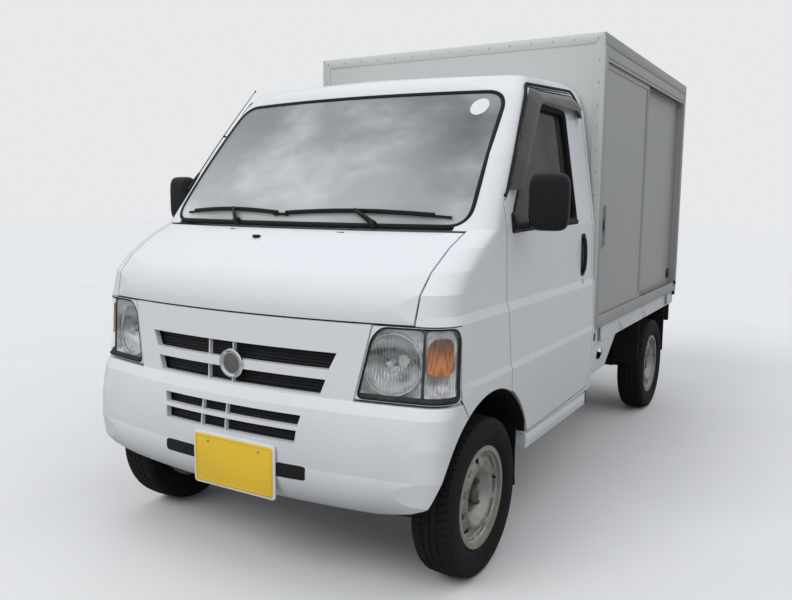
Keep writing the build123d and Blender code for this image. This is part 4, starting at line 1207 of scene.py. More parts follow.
class TRUCK_OT_headlamps(bpy.types.Operator):
    """Makes both headlamps: a round fluted reflector, a corner lamp with a ribbed amber patch, a
    divider, a black seal and a clear lens that follows the nose corner"""
    bl_idname = "truck.headlamps"
    bl_label = "Headlamps"

    def bowl(self, loop, middle, reach, edge, depth, flute, pitch):
        """From the outline a flat collar leads to an ellipse, and inside it the surface sinks as
        depth * (1 - share squared), with vertical flutes of that height and pitch."""
        oval = oval_in(loop, middle, reach)
        collar = np.linspace(0, 1, 5)[:, None, None]
        share = np.linspace(1, 0.02, 22)[1:, None, None]
        flat = np.concatenate([loop * (1 - collar) + oval * collar,
                               middle + (oval - middle) * share])
        sunk = -edge - 0.006 - depth * (1 - share[..., 0] ** 2) * np.ones(len(loop))
        lift = np.concatenate([np.full((5, len(loop)), -edge), sunk])
        lift[0] = -0.010
        ripple = flute * np.abs(np.sin(np.pi * (flat[..., 0] - middle[0]) / pitch))
        ripple[:5] = 0
        lift = lift + ripple
        return shell(skin(flat[..., 0], flat[..., 1], lift),
                     skin(flat[..., 0], flat[..., 1], lift - 0.0025))

    def execute(self, context):
        corner = float(arc_length(0.730, 0.75))
        corner += lamp_rear - float(skin(corner, 0.75)[1]) - 0.049
        split = float(arc_length(0.655, 0.75))
        low_u, high_u = float(arc_length(0.452, 0.642)), float(arc_length(0.500, 0.861))
        main = lamp_loop(low_u + 0.006, high_u + 0.006, split - 0.004, split - 0.004, 0.650, 0.854,
                         0.020, 120, (0.036, 0.0))
        side = lamp_loop(split + 0.004, split + 0.004, corner + 0.036, corner + 0.034, 0.650, 0.854,
                         0.020, 120, (0.0, 0.034))
        middle = (float(arc_length(0.556, 0.75)), 0.748)
        big = self.bowl(main, middle, (0.089, 0.089), 0.030, 0.060, 0.0022, 0.011)
        small_middle = (split + 0.054, 0.742)
        small = self.bowl(side, small_middle, (0.044, 0.084), 0.018, 0.040, 0.0020, 0.008)
        put("lamp_reflectors", both(joined(big, small)), "reflector", 60,
            ("headlamp_housings",))
        z = np.linspace(0.648, 0.856, 9)
        wall = ribbon(skin, stacked(split - 0.004, z), stacked(split + 0.004, z), (-0.006, -0.006),
                      0.034)
        put("lamp_dividers", both(wall), "black", 30)
        ring = loop_bar(skin(*ellipse(middle, 0.092, 72).T, -0.026), 0.0045, 8, (0, 1, 0))
        shield_at = skin(middle[0], middle[1], -0.050)
        shield = turned([(0.0, 0.0), (-0.004, 0.017), (-0.020, 0.020), (-0.034, 0.014),
                         (-0.038, 0.0)], shield_at, "y", 28)
        put("lamp_rings", both(joined(ring, shield)), "chrome", 40)
        u0, u1 = split + 0.010, corner + 0.026
        columns = np.linspace(0, 1, 73)
        u = u0 + (u1 - u0) * columns
        low_line = stacked(u, 0.735 - 0.012 * np.sin(np.pi * columns))
        high_line = stacked(u, 0.832 - 0.030 * (2 * columns - 1) ** 4)
        ribs = 0.0016 * np.abs(np.sin(12 * np.pi * columns))[:, None]
        bow = 0.006 * np.sin(np.pi * columns)[:, None]
        patch = ribbon(skin, low_line, high_line, -0.0150 + bow + ribs + np.zeros((73, 14)), 0.003)
        put("lamp_amber_patches", both(patch), "amber", 60)
        whole = lamp_loop(low_u + 0.003, high_u + 0.003, corner + 0.047, corner + 0.045, 0.6435,
                          0.8605, 0.022, 200, (0.034, 0.032))
        frame_loop = lamp_loop(low_u, high_u, corner + 0.049, corner + 0.047, 0.6415, 0.8625, 0.004,
                               200)
        frame_loop = spread(np.roll(frame_loop,
                                    -int(np.argmin(np.abs(frame_loop - whole[0]).sum(1))), 0), 200)
        collar = layer(skin, frame_loop, offset(whole, 0.001), -0.014, -0.0004, 4)
        put("lamp_corner_fillets", both(collar), "cab", 40)
        seal = layer(skin, whole, offset(whole, -0.0045), -0.010, 0.0006, 3,
                     (-0.004, 0.0004, 0.0004, -0.003))
        lower = ribbon(skin, stacked(np.linspace(low_u + 0.012, corner + 0.040, 30), 0.649),
                       stacked(np.linspace(low_u + 0.014, corner + 0.040, 30), 0.660),
                       (-0.004, -0.008), 0.004)
        put("lamp_seals", both(joined(seal, lower)), "seal", 40)
        lens = layer(skin, offset(whole, -0.004), None, -0.0042, -0.0002, 24)
        put("lamp_lenses", both(lens), "lens", 40, ("headlamp_lenses",))
        return {"FINISHED"}


class TRUCK_OT_windscreen(bpy.types.Operator):
    """Makes the windscreen with its rubber, its dark border and a blank round sticker, and the
    rear window"""
    bl_idname = "truck.windscreen"
    bl_label = "Windscreen"

    def execute(self, context):
        corners = [(-0.647, 1.1400), (0.647, 1.1400), (0.605, 1.6135), (-0.605, 1.6135)]
        rim = spread(softened(corners, 0.075, 9), 260)
        rubber = layer(nose_at, offset(rim, 0.004), offset(rim, -0.010), -0.009, 0.001, 4,
                       (-0.003, 0.0016, 0.0020, 0.0008, -0.0022))
        put("windscreen_rubber", rubber, "seal", 50)
        border = sizes().sight_border
        sight = spread(softened(offset(rim, -border), 0.004, 3), 260)
        dark = layer(nose_at, offset(rim, -0.004), sight, -0.0080, -0.0062, 3)
        put("windscreen_border", dark, "black", 50)
        pane = layer(nose_at, offset(rim, -0.002), None, -0.0058, -0.0026, 40)
        put("windscreen_glass", pane, "screen", 40, ("cab_glass",))
        sticker = ellipse((0.528, 1.553), 0.031, 40)
        put("windscreen_sticker", layer(nose_at, sticker, None, -0.0024, -0.0020, 6),
            "white", 30)
        rear = spread(rounded(0.938, 0.308, 0.030, 8) + (0, 1.345), 160)
        rear_out = spread(rounded(0.972, 0.342, 0.045, 8) + (0, 1.345), 160)
        wall = flat_across(1.1005)
        put("rear_window_rubber", layer(wall, rear_out, offset(rear, -0.010), -0.004, 0.022, 3),
            "seal", 40)
        put("rear_window_glass", layer(flat_across(1.085), rear, None, -0.002, 0.002, 10),
            "screen", 40)
        return {"FINISHED"}


class TRUCK_OT_wipers(bpy.types.Operator):
    """Makes both wipers parked along the foot of the windscreen, and the washer jet"""
    bl_idname = "truck.wipers"
    bl_label = "Wipers"

    def execute(self, context):
        parts = []
        for pivot, start, end in ((0.330, -0.085, 0.585), (-0.250, -0.560, -0.020)):
            x = np.linspace(start, end, 25)
            share = (x - start) / (end - start)
            z = 1.168 + 0.014 * np.sin(np.pi * share)
            blade = nose_at(x, z, 0.0050)
            parts.append(tube(blade, 0.0046, 8, (0, 0, 1), 0.6))
            parts.append(tube(nose_at(x[2:-2], z[2:-2] + 0.001, 0.0120), 0.0062, 8, (0, 0, 1), 0.8))
            for k in (5, 12, 19):
                parts.append(tube(nose_at(x[k] + np.linspace(-0.008, 0.008, 3), z[k], 0.008),
                                  0.0048, 8))
            middle = (start + end) / 2
            rise = np.linspace(0, 1, 12)
            arm = nose_at(pivot + (middle - pivot) * rise, 1.142 + 0.040 * rise,
                          0.012 + 0.006 * np.sin(np.pi * rise))
            parts.append(tube(arm, 0.0105 - 0.0040 * rise, 10, (0, 0, 1), 0.7))
            foot = nose_at(pivot, 1.142, (-0.004, 0.010, 0.021))
            parts.append(tube(foot, (0.014, 0.013, 0.009), 20, (0, 0, 1)))
            parts.append(tube(nose_at(middle, 1.182, (0.006, 0.019)), 0.0065, 10))
        put("wiper_set", joined(*parts), "black", 40, ("wipers",))
        _, y, z = nose_at(-0.072, 1.098)
        jet = plate(rounded(0.030, 0.018, 0.007, 6), 0, 0.010, "xy", 0.004, 4,
                    (-0.072, y - 0.006, z - 0.004))
        put("washer_jets", jet, "black", 40, body="hood")
        return {"FINISHED"}


window_corners = [(0.184, 1.132), (0.852, 1.144), (0.829, 1.574), (0.520, 1.574), (0.186, 1.176)]
mirror_centre = (0.828, 0.205, 1.222)


class TRUCK_OT_door_trim(bpy.types.Operator):
    """Dresses both doors: window rubber and belt strip, smoked visor, upright handle with its
    escutcheon and key barrel, mirror, inner door card"""
    bl_idname = "truck.door_trim"
    bl_label = "Door trim"

    def execute(self, context):
        hole = np.array(window_corners)
        clear = spread(softened(offset(hole, -0.006), 0.034, 7), 180)
        cover = spread(softened(offset(hole, 0.014), 0.030, 7), 180)
        rubber = layer(side_at, cover, clear, -0.006, 0.002, 5,
                       (-0.001, 0.0030, 0.0034, 0.0030, 0.0022, -0.004))
        run = layer(side_at, offset(clear, 0.001), offset(clear, -0.006), -0.030, -0.003, 2)
        strip = ribbon(side_at, line((0.176, 1.1200), (0.862, 1.1320), count=30),
                       line((0.178, 1.1420), (0.862, 1.1540), count=30),
                       (0.0008, 0.0050, 0.0058, 0.0040, 0.0008), 0.004)
        trim = {"window_rubber": (joined(rubber, run, strip), "seal", "black_plastic")}
        top = [(0.168, 1.262), (0.300, 1.424), (0.436, 1.597), (0.480, 1.6290), (0.960, 1.6565),
               (1.006, 1.6330), (1.018, 1.5700)]
        low = [(0.224, 1.252), (0.350, 1.400), (0.480, 1.552), (0.518, 1.5800), (0.930, 1.5860),
               (0.962, 1.5740), (0.968, 1.5560)]
        at = (0.0, 0.22, 0.44, 0.50, 0.88, 0.94, 1.0)
        share = np.linspace(0, 1, 90)
        outer_line = stacked(*[np.interp(share, at, places) for places in zip(*top)])
        inner_line = stacked(*[np.interp(share, at, places) for places in zip(*low)])
        visor = ribbon(side_at, outer_line, inner_line, (0.0022, 0.012, 0.020, 0.025, 0.027, 0.027),
                       0.0028)
        trim["window_visor"] = (visor, "visor", "window_glass")
        place = spread(rounded(0.052, 0.178, 0.012, 8) + (0.945, 1.002), 80)
        dish = layer(side_at, place, offset(place, -0.007), -0.002, 0.002, 3,
                     (0.0, 0.0030, 0.0030, 0.0008))
        back = layer(side_at, offset(place, -0.006), None, -0.001, 0.0012, 6)
        grip_z = np.linspace(0.928, 1.076, 22)
        bow = np.clip(np.sin(np.pi * (grip_z - 0.928) / 0.148), 0, 1) ** 0.45
        grip = tube(side_at(0.945, grip_z, 0.003 + 0.0095 * bow), 0.0120, 14, (0, 1, 0), 0.50)
        trim["door_handle"] = (joined(dish, back, grip), "black", "black_plastic")
        barrel = turned([(0.0, 0.0), (0.0, 0.0115), (0.0028, 0.0110), (0.0036, 0.0085),
                         (0.0026, 0.0075), (0.0026, 0.0)], side_at(0.945, 0.888), "x", 28)
        trim["door_key_barrel"] = (barrel, "chrome", "lamp_reflector")
        u = even_turns(48)[None]
        v = np.linspace(-np.pi / 2, np.pi / 2, 31)[1:-1, None]
        head = stacked(0.066 * power(np.cos(v), 0.42) * power(np.cos(u), 0.42),
                       0.034 * power(np.sin(v), 0.62),
                       0.094 * power(np.cos(v), 0.42) * power(np.sin(u), 0.42))
        head[..., 1] = np.minimum(head[..., 1], 0.024)
        edge = loop_bar(stood(rounded(0.112, 0.166, 0.028, 10), 0.0250), 0.0055, 10, (0, 1, 0))
        pane = plate(rounded(0.108, 0.162, 0.026, 10), 0.0225, 0.0262, "xz", 0.001, 2)
        turn = lambda shape: spun(moved(shape, mirror_centre), mirror_centre, (0, 0, 1), 10)
        arm_path = [(0.712, 0.186, 1.146), (0.738, 0.190, 1.143), (0.772, 0.196, 1.146),
                    (0.800, 0.202, 1.160), (0.816, 0.205, 1.182)]
        arm = tube(arm_path, (0.015, 0.0125, 0.0115, 0.0120, 0.0150), 16, (0, 0, 1))
        foot_loop = spread(softened([(0.160, 1.118), (0.232, 1.119), (0.222, 1.176), (0.196, 1.192),
                                     (0.166, 1.186)], 0.014, 6), 60)
        foot = layer(side_at, foot_loop, None, -0.002, 0.008, 6,
                     (0.0, 0.006, 0.008, 0.009, 0.009, 0.009, 0.009))
        trim["door_mirror"] = (joined(turn(capped(head)), turn(edge), arm, foot), "black",
                               "black_plastic")
        trim["door_mirror_glass"] = (turn(pane), "chrome", "window_glass")
        card_loop = spread(softened([(0.215, 0.700), (0.345, 0.640), (0.470, 0.455), (1.035, 0.455),
                                     (1.035, 1.095), (0.215, 1.090)], 0.040, 7), 160)
        card = layer(side_at, card_loop, None, -0.0525, -0.0580, 24,
                     np.concatenate([[-0.0545, -0.0575], np.full(23, -0.0585)]))
        rest = tube(side_at(np.linspace(0.42, 0.82, 14), 0.925, -0.075), 0.021, 14, (0, 0, 1), 0.9)
        winder = tube([side_at(0.64, 0.80, lift) for lift in (-0.055, -0.085)], 0.012, 14,
                      (0, 0, 1))
        trim["door_card"] = (joined(card, rest, winder), "dash", "dash_grey")
        for name, (shape, key, slot) in trim.items():
            covers = "door_{}_fittings" if name == "door_mirror" else ""
            put_pair(name, shape, key, 38, "door", covers)
        return {"FINISHED"}


class TRUCK_OT_cab_trim(bpy.types.Operator):
    """Lays the black drip strip along the roof edge and pillar, the sill strip and its bracket,
    and the aerial on the right pillar"""
    bl_idname = "truck.cab_trim"
    bl_label = "Cab trim"

    def execute(self, context):
        edge = line((0.128, 1.2415), (0.1440, 1.2485), (0.448, 1.6410), (0.986, 1.6775),
                    (1.0560, 1.6060), count=90)
        strip = tube(side_at(edge[:, 0], edge[:, 1], 0.0015), 0.0058, 10, (1, 0, 0), 0.9)
        put("drip_strips", both(strip), "seal", 45)
        sill = ribbon(flat_along(0.7275), line((0.326, 0.3900), (1.020, 0.3790), count=24),
                      line((0.326, 0.3480), (1.020, 0.3490), count=24),
                      (0.0, 0.0022, 0.0026, 0.0022, 0.0), 0.003)
        put("sill_strips", both(sill), "cab", 30)
        bracket = brick((0.690, 1.022, 0.344), (0.726, 1.052, 0.398), 0.003)
        put("sill_brackets", both(bracket), "frame", 30)
        share = np.linspace(0, 1, 20)[:, None]
        low, high = np.array([-0.716, 0.130, 1.262]), np.array([-0.660, 0.491, 1.697])
        rod = low + (high - low) * share
        rod[:, 0] -= 0.008 * np.sin(np.pi * share[:, 0])
        parts = [tube(rod, np.linspace(0.0024, 0.0015, 20), 8, (1, 0, 0)),
                 tube(rod[:4], (0.0075, 0.0070, 0.0060, 0.0040), 14, (1, 0, 0)),
                 tube([rod[-1], rod[-1] + (high - low) * 0.012], 0.0034, 10, (1, 0, 0))]
        for k in (1, 10):
            parts.append(tube([rod[k], rod[k] + (0.022, 0.004, -0.002)], 0.0040, 10, (0, 0, 1)))
        put("aerial", joined(*parts), "black", 40)
        return {"FINISHED"}


class TRUCK_OT_wheel_arches(bpy.types.Operator):
    """Lines both front wheel arches with a near-black sheet, painted shade for the dark inside of
    each arch, and hangs a flap behind each front wheel
    """
    bl_idname = "truck.wheel_arches"
    bl_label = "Wheel arches"

    def execute(self, context):
        reach = 0.3585
        t = np.radians(np.linspace(168.0, 30.6, 60))
        bow = stacked(reach * np.cos(t), wheel_height + reach * np.sin(t))
        path = np.concatenate([bow, [(0.3085, 0.408)]])
        surface, length = wrapped(path)
        s = np.linspace(0, length, 120)
        middle = surface(0.0, s, 0.0)
        reach_x = 0.7255 - 0.085 * np.clip((-0.22 - middle[:, 1]) / 0.13, 0, 1) ** 2
        sheet = ribbon(surface, stacked(0.408, s), stacked(reach_x, s), (0.0, 0.0, 0.0, 0.0),
                       0.0015)
        wall = plate(np.concatenate([path, [(0.3085, 0.360)], [(-0.3495, 0.325)]]), 0.4054, 0.4068,
                     "yz", 0.0, 2)
        # Painted shade: the near-black liner and inner wall darken the arch where the wheelhouse
        # would show pale.
        put("arch_liners", both(joined(sheet, wall)), "underbody", 40)
        flap_z = np.linspace(0.440, 0.205, 24)
        flap_y = 0.3020 - 0.006 * np.sin(np.pi * (0.440 - flap_z) / 0.235)
        surface, length = wrapped(stacked(flap_y, flap_z))
        s = np.linspace(0, length, 24)
        flap = ribbon(surface, stacked(0.545, s), stacked(0.698, s),
                      (0.0, 0.0008, 0.0, 0.0008, 0.0, 0.0008, 0.0), 0.003)
        put("front_flaps", both(flap), "seal", 40)
        return {"FINISHED"}


class TRUCK_OT_shut_lines(bpy.types.Operator):
    """Lays dark sealing strips deep in the shut lines of the doors and the hood"""
    bl_idname = "truck.shut_lines"
    bl_label = "Shut lines"

    def execute(self, context):
        wide, deep = 0.0045, 0.0120
        rear_run = line((0.453, 1.627), (0.985, 1.663), (1.059, 1.572), (1.065, 1.100),
                        (1.077, 0.863), (1.077, 0.560), (1.069, 0.419), (0.345, 0.4060), count=180)
        along = np.gradient(rear_run, axis=0)
        inward = stacked(along[:, 1], -along[:, 0]) / np.linalg.norm(along, axis=1)[:, None]
        door_strip = ribbon(side_at, rear_run - inward * 0.0002, rear_run - inward * wide,
                            (-deep, -deep), 0.002)
        put_pair("door_seal", door_strip, "seal", 40, "door")
        front_run = line((0.163, 0.560), (0.163, 0.610), (0.128, 0.868), (0.118, 1.222), count=90)
        front_strip = ribbon(side_at, front_run - (0.0058, 0.0), front_run - (0.0028, 0.0),
                             (-0.014, -0.014), 0.002)
        z = np.linspace(0.868, 1.118, 60)
        half = np.interp(z, (0.870, 1.124), (0.622, 0.640))
        hood_side = ribbon(nose_at, stacked(half + 0.0004, z), stacked(half + 0.0056, z),
                           (-0.0115, -0.0115), 0.002)
        x = np.linspace(-0.44, 0.44, 60)
        hood_foot = ribbon(nose_at, stacked(x, 0.8646), stacked(x, 0.8694), (-0.0115, -0.0115),
                           0.002)
        put("hood_seals", joined(both(joined(hood_side, front_strip)), hood_foot),
            "seal", 40)
        corner_run = line((-0.237, 0.645), (-0.223, 0.633), (-0.180, 0.583), count=24)
        joint = ribbon(side_at, corner_run - (0.0010, 0.0015), corner_run + (0.0010, 0.0015),
                       (0.0, 0.0006, 0.0), 0.003)
        put("bumper_joints", both(joint), "seal", 40)
        return {"FINISHED"}


class TRUCK_OT_box_profiles(bpy.types.Operator):
    """Adds the box body's profiles: the mitred frame of its front panel, side headers, corner
    posts, track rails and rows of rivets"""
    bl_idname = "truck.box_profiles"
    bl_label = "Box profiles"

    def execute(self, context):
        w, low, high, wide = box_half_width, box_bottom, box_top, 0.044
        frame_members = [
            [(-w, high), (w, high), (w - wide, high - wide), (-w + wide, high - wide)],
            [(-w, low), (w, low), (w - wide, low + wide), (-w + wide, low + wide)],
            [(w, low), (w, high), (w - wide, high - wide), (w - wide, low + wide)],
            [(-w, low), (-w, high), (-w + wide, high - wide), (-w + wide, low + wide)],
        ]
        parts = [plate(np.array(m), box_front - 0.0032, box_front - 0.0002, "xz", 0.0012, 2)
                 for m in frame_members]
        strips = [
            # each one's reach in y and in z, how far it stands out, and its edge
            (box_front + 0.002, box_rear - 0.002, high - 0.050, high - 0.0015, 0.0035, 0.002),
            (box_front + 0.050, box_rear - 0.050, high - 0.099, high - 0.086, 0.0030, 0.002),
            (box_front - 0.001, box_front + 0.050, low + 0.001, high - 0.051, 0.0028, 0.0022),
            (box_rear - 0.050, box_rear - 0.001, low + 0.001, high - 0.051, 0.0028, 0.0022),
            (box_front + 0.051, box_rear - 0.051, low + 0.001, low + 0.040, 0.0026, 0.002),
        ]
        side = []
        for y0, y1, z0, z1, out, edge in strips:
            side.append(brick((w - 0.001, y0, z0), (w + out, y1, z1), edge))
        for z in (low + 0.0135, low + 0.0265):
            side.append(brick((w, box_front + 0.052, z - 0.0015),
                              (w + 0.0042, box_rear - 0.052, z + 0.0015), 0.001))
        put("box_front_frame", joined(*parts), "profile", 30)
        put("box_side_profiles", both(joined(*side)), "profile", 30)
        head = [(0.0, 0.0), (0.0, 0.0042), (0.0008, 0.0040), (0.0019, 0.0026), (0.0023, 0.0)]
        rivet = turned(head, (0, 0, 0), "y", 10)
        front_rivet = (np.asarray(rivet[0]) * (1, -1, 1), [tuple(reversed(f)) for f in rivet[1]])
        places = [(x, box_front - 0.0030, z) for x in np.linspace(-0.70, 0.70, 15)
                  for z in (high - 0.022, low + 0.022)]
        places += [(x, box_front - 0.0030, z) for z in np.linspace(0.78, 1.82, 12)
                   for x in (-w + 0.022, w - 0.022)]
        put("box_front_rivets", copies(front_rivet, places), "zinc", 40)
        side_rivet = turned(head, (0, 0, 0), "x", 10)
        places = [(w + 0.0034, y, high - 0.038)
                  for y in np.linspace(box_front + 0.03, box_rear - 0.03, 19)]
        places += [(w + 0.0027, y, z) for z in np.linspace(0.72, 1.85, 13)
                   for y in (box_front + 0.025, box_rear - 0.025)]
        put("box_side_rivets", both(copies(side_rivet, places)), "zinc", 40)
        return {"FINISHED"}


class TRUCK_OT_side_door_fittings(bpy.types.Operator):
    """Fits the sliding side doors with latch plates, pulls, edge profiles and end stops"""
    bl_idname = "truck.side_door_fittings"
    bl_label = "Side door fittings"

    def execute(self, context):
        outer, inner = 0.722, 0.695
        face = flat_along(outer)
        loop = spread(rounded(0.060, 0.187, 0.010, 6) + (1.232, 1.1135), 80)
        hollow = spread(rounded(0.024, 0.060, 0.010, 6) + (1.232, 1.1135), 80)
        frame_plate = layer(face, loop, hollow, -0.003, 0.002, 3, (0.0008, 0.0022, 0.0022, -0.002))
        well = layer(face, offset(hollow, 0.001), None, -0.0036, -0.0030, 6)
        lever = brick((outer - 0.003, 1.226, 1.095), (outer + 0.0030, 1.238, 1.132), 0.003)
        screw = turned([(0.0, 0.0), (0.0, 0.0040), (0.0012, 0.0034), (0.0018, 0.0)],
                       (outer + 0.0018, 1.232, 0), "x", 12)
        rim_loop = loop_bar(face(*loop.T, 0.0012), 0.0016, 8, (1, 0, 0))
        rim = joined(rim_loop, copies(screw, [(0, 0, 1.030), (0, 0, 1.197)]))
        for name, shape, key in (("side_latch_plate", frame_plate, "latch"),
                                 ("side_latch_rim", rim, "zinc"),
                                 ("side_latch", joined(well, lever), "black")):
            put_pair(name, shape, key, 35, "side_door_front")
        low = [brick((inner - 0.003, 2.822, 0.742), (inner + 0.0030, 2.850, 0.800), 0.0015),
               brick((inner - 0.002, 2.812, 0.760), (inner + 0.0022, 2.860, 0.782), 0.001)]
        put_pair("rear_latch", joined(*low), "black", 35, "side_door_rear")
        edge = ribbon(face, line((1.9755, 0.712), (1.9755, 1.824), count=3),
                      line((1.9875, 0.712), (1.9875, 1.824), count=3),
                      (0.0004, 0.0022, 0.0026, 0.0022, 0.0004), 0.003)
        put_pair("side_edge", edge, "profile", 30, "side_door_front")
        stop = brick((0.7292, 2.862, 0.700), (0.742, 2.886, 0.722), 0.004)
        hook = brick((0.7192, 2.896, 0.628), (0.7330, 2.914, 0.656), 0.003)
        put("door_stops", both(joined(stop, hook)), "black", 35)
        return {"FINISHED"}


class TRUCK_OT_rear_door_fittings(bpy.types.Operator):
    """Fits the rear doors with lock rods, guides, a handle, hinge straps, rubber and edge frames"""
    bl_idname = "truck.rear_door_fittings"
    bl_label = "Rear door fittings"

    def execute(self, context):
        y = box_rear
        back = lambda x, z, lift: stacked(x, y + lift, z)
        outer = spread(rounded(0.671, 1.163, 0.004, 3) + (0.3385, 1.284), 120)
        rim = layer(back, outer, offset(outer, -0.030), -0.0005, 0.002, 3,
                    (0.0004, 0.0022, 0.0022, 0.0004))
        rod_parts = [tube([(0.060, y + 0.0095, 0.716), (0.060, y + 0.0095, 1.852)], 0.0072, 14,
                          (0, 1, 0))]
        for z in (0.735, 0.960, 1.290, 1.560, 1.835):
            rod_parts.append(brick((0.040, y + 0.0002, z - 0.016), (0.080, y + 0.0028, z + 0.016),
                                   0.001))
            rod_parts.append(tube([(0.060, y + 0.0085, z - 0.011), (0.060, y + 0.0085, z + 0.011)],
                                  0.0083, 14, (0, 1, 0)))
        lever = brick((0.052, y + 0.0022, 1.006), (0.190, y + 0.0100, 1.030), 0.003)
        grip = tube([(0.190, y + 0.0088, 1.018), (0.246, y + 0.0088, 1.018)], 0.0076, 12)
        mount = brick((0.160, y + 0.0002, 0.985), (0.215, y + 0.0030, 1.052), 0.001)
        hinges = (0.780, 1.270, 1.760)
        strap = [brick((0.500, y + 0.0015, z - 0.0215), (0.640, y + 0.0060, z + 0.0215), 0.0015)
                 for z in hinges]
        bolt = turned([(0.0, 0.0), (0.0, 0.0062), (0.0022, 0.0058), (0.0036, 0.0030),
                       (0.0038, 0.0)], (0, y + 0.0056, 0), "y", 14)
        bolts = copies(bolt, [(x, 0, z) for z in hinges for x in (0.520, 0.560, 0.600)])
        rod = joined(*rod_parts, lever, grip, mount)
        hinge = joined(*strap, bolts)
        for side, turn in (("left", lambda s: s), ("right", mirrored)):
            body = "rear_door_" + side
            put("rear_edge_" + side, turn(rim), "profile", 30, body=body)
            put("rear_lock_rod_" + side, turn(rod), "zinc", 35, body=body)
            put("rear_hinge_straps_" + side, turn(hinge), "zinc", 35, body=body)
        rubber = [tube([(x, y - 0.003, 0.706), (x, y - 0.003, 1.864)], 0.0028, 8, (0, 1, 0))
                  for x in (0.0, 0.6775, -0.6775)]
        put("rear_rubber", joined(*rubber), "seal", 40)
        sill = brick((-0.676, y - 0.001, 0.661), (0.676, y + 0.0025, 0.694), 0.0015)
        header = brick((-0.676, y - 0.001, 1.876), (0.676, y + 0.0025, 1.929), 0.0015)
        post = brick((0.684, y - 0.001, 0.661), (0.730, y + 0.0022, 1.929), 0.0015)
        put("box_rear_frame", joined(sill, header, both(post)), "profile", 30)
        return {"FINISHED"}


class TRUCK_OT_bed_fittings(bpy.types.Operator):
    """Adds the rolled lip of the bed gusset's oval hole, a plug in the bed's side, the strap
    brackets that hold the box and the rope hooks"""
    bl_idname = "truck.bed_fittings"
    bl_label = "Bed fittings"

    def execute(self, context):
        hole = ellipse((1.268, 0.522), (0.0525, 0.0265), 72)
        lip = loop_bar(stacked(0.7158, *hole.T), 0.0026, 8, (1, 0, 0))
        put("bed_gusset_lips", both(lip), "bed", 35)
        opening = brick((0.7160, 1.150, 0.598), (0.7190, 1.186, 0.634), 0.002)
        straps, hooks = [], []
        for y in (1.238, 2.70):
            straps.append(brick((0.7181, y - 0.017, 0.588), (0.7215, y + 0.017, 0.660), 0.0012))
            straps.append(tube([(0.7255, y, 0.594), (0.7255, y, 0.672)], 0.0042, 10, (1, 0, 0)))
            straps.append(brick((0.7182, y - 0.020, 0.668), (0.7400, y + 0.020, 0.674), 0.0015))
            for z in (0.588, 0.603):
                straps.append(plate(ellipse((0.7255, y), 0.0075, 6), z, z + 0.006, "xy", 0.001, 2))
        for y in (1.62, 2.12):
            t = np.linspace(-0.3, np.pi * 0.95, 16)
            bend = stacked(0.7195 + 0.010 * np.sin(t), y, 0.600 - 0.012 * np.cos(t))
            hooks.append(tube(bend, 0.0036, 8, (0, 1, 0)))
            hooks.append(brick((0.7181, y - 0.012, 0.606), (0.7205, y + 0.012, 0.630), 0.001))
        put("box_straps", both(joined(*straps)), "zinc", 35)
        put("rope_hooks", both(joined(*hooks)), "bed", 35)
        put("bed_plugs", both(opening), "black", 35)
        return {"FINISHED"}


class TRUCK_OT_tail_lamps(bpy.types.Operator):
    """Makes the tail lamps: a dark case and a lens split into red, amber and clear fields"""
    bl_idname = "truck.tail_lamps"
    bl_label = "Tail lamps"

    def execute(self, context):
        case = brick((0.556, 2.872, 0.462), (0.706, 2.902, 0.576), 0.008)
        put("tail_lamp_cases", both(case), "black", 35, ("tail_lamps",))
        for name, x0, x1, key in (("red", 0.6385, 0.700, "red"), ("amber", 0.600, 0.6365, "amber"),
                                  ("clear", 0.562, 0.598, "lens")):
            pane = plate(rounded(x1 - x0, 0.102, 0.006, 5) + ((x0 + x1) / 2, 0.519), 2.898, 2.916,
                         "xz", 0.005, 4)
            put("tail_lens_" + name, both(pane), key, 40)
        bar = brick((0.30, 2.896, 0.552), (0.552, 2.910, 0.574), 0.004)
        lamp = plate(rounded(0.090, 0.034, 0.008, 5) + (0.0, 0.540), 2.896, 2.914, "xz", 0.004, 3)
        put("rear_marker", joined(both(bar), lamp), "frame", 35)
        return {"FINISHED"}


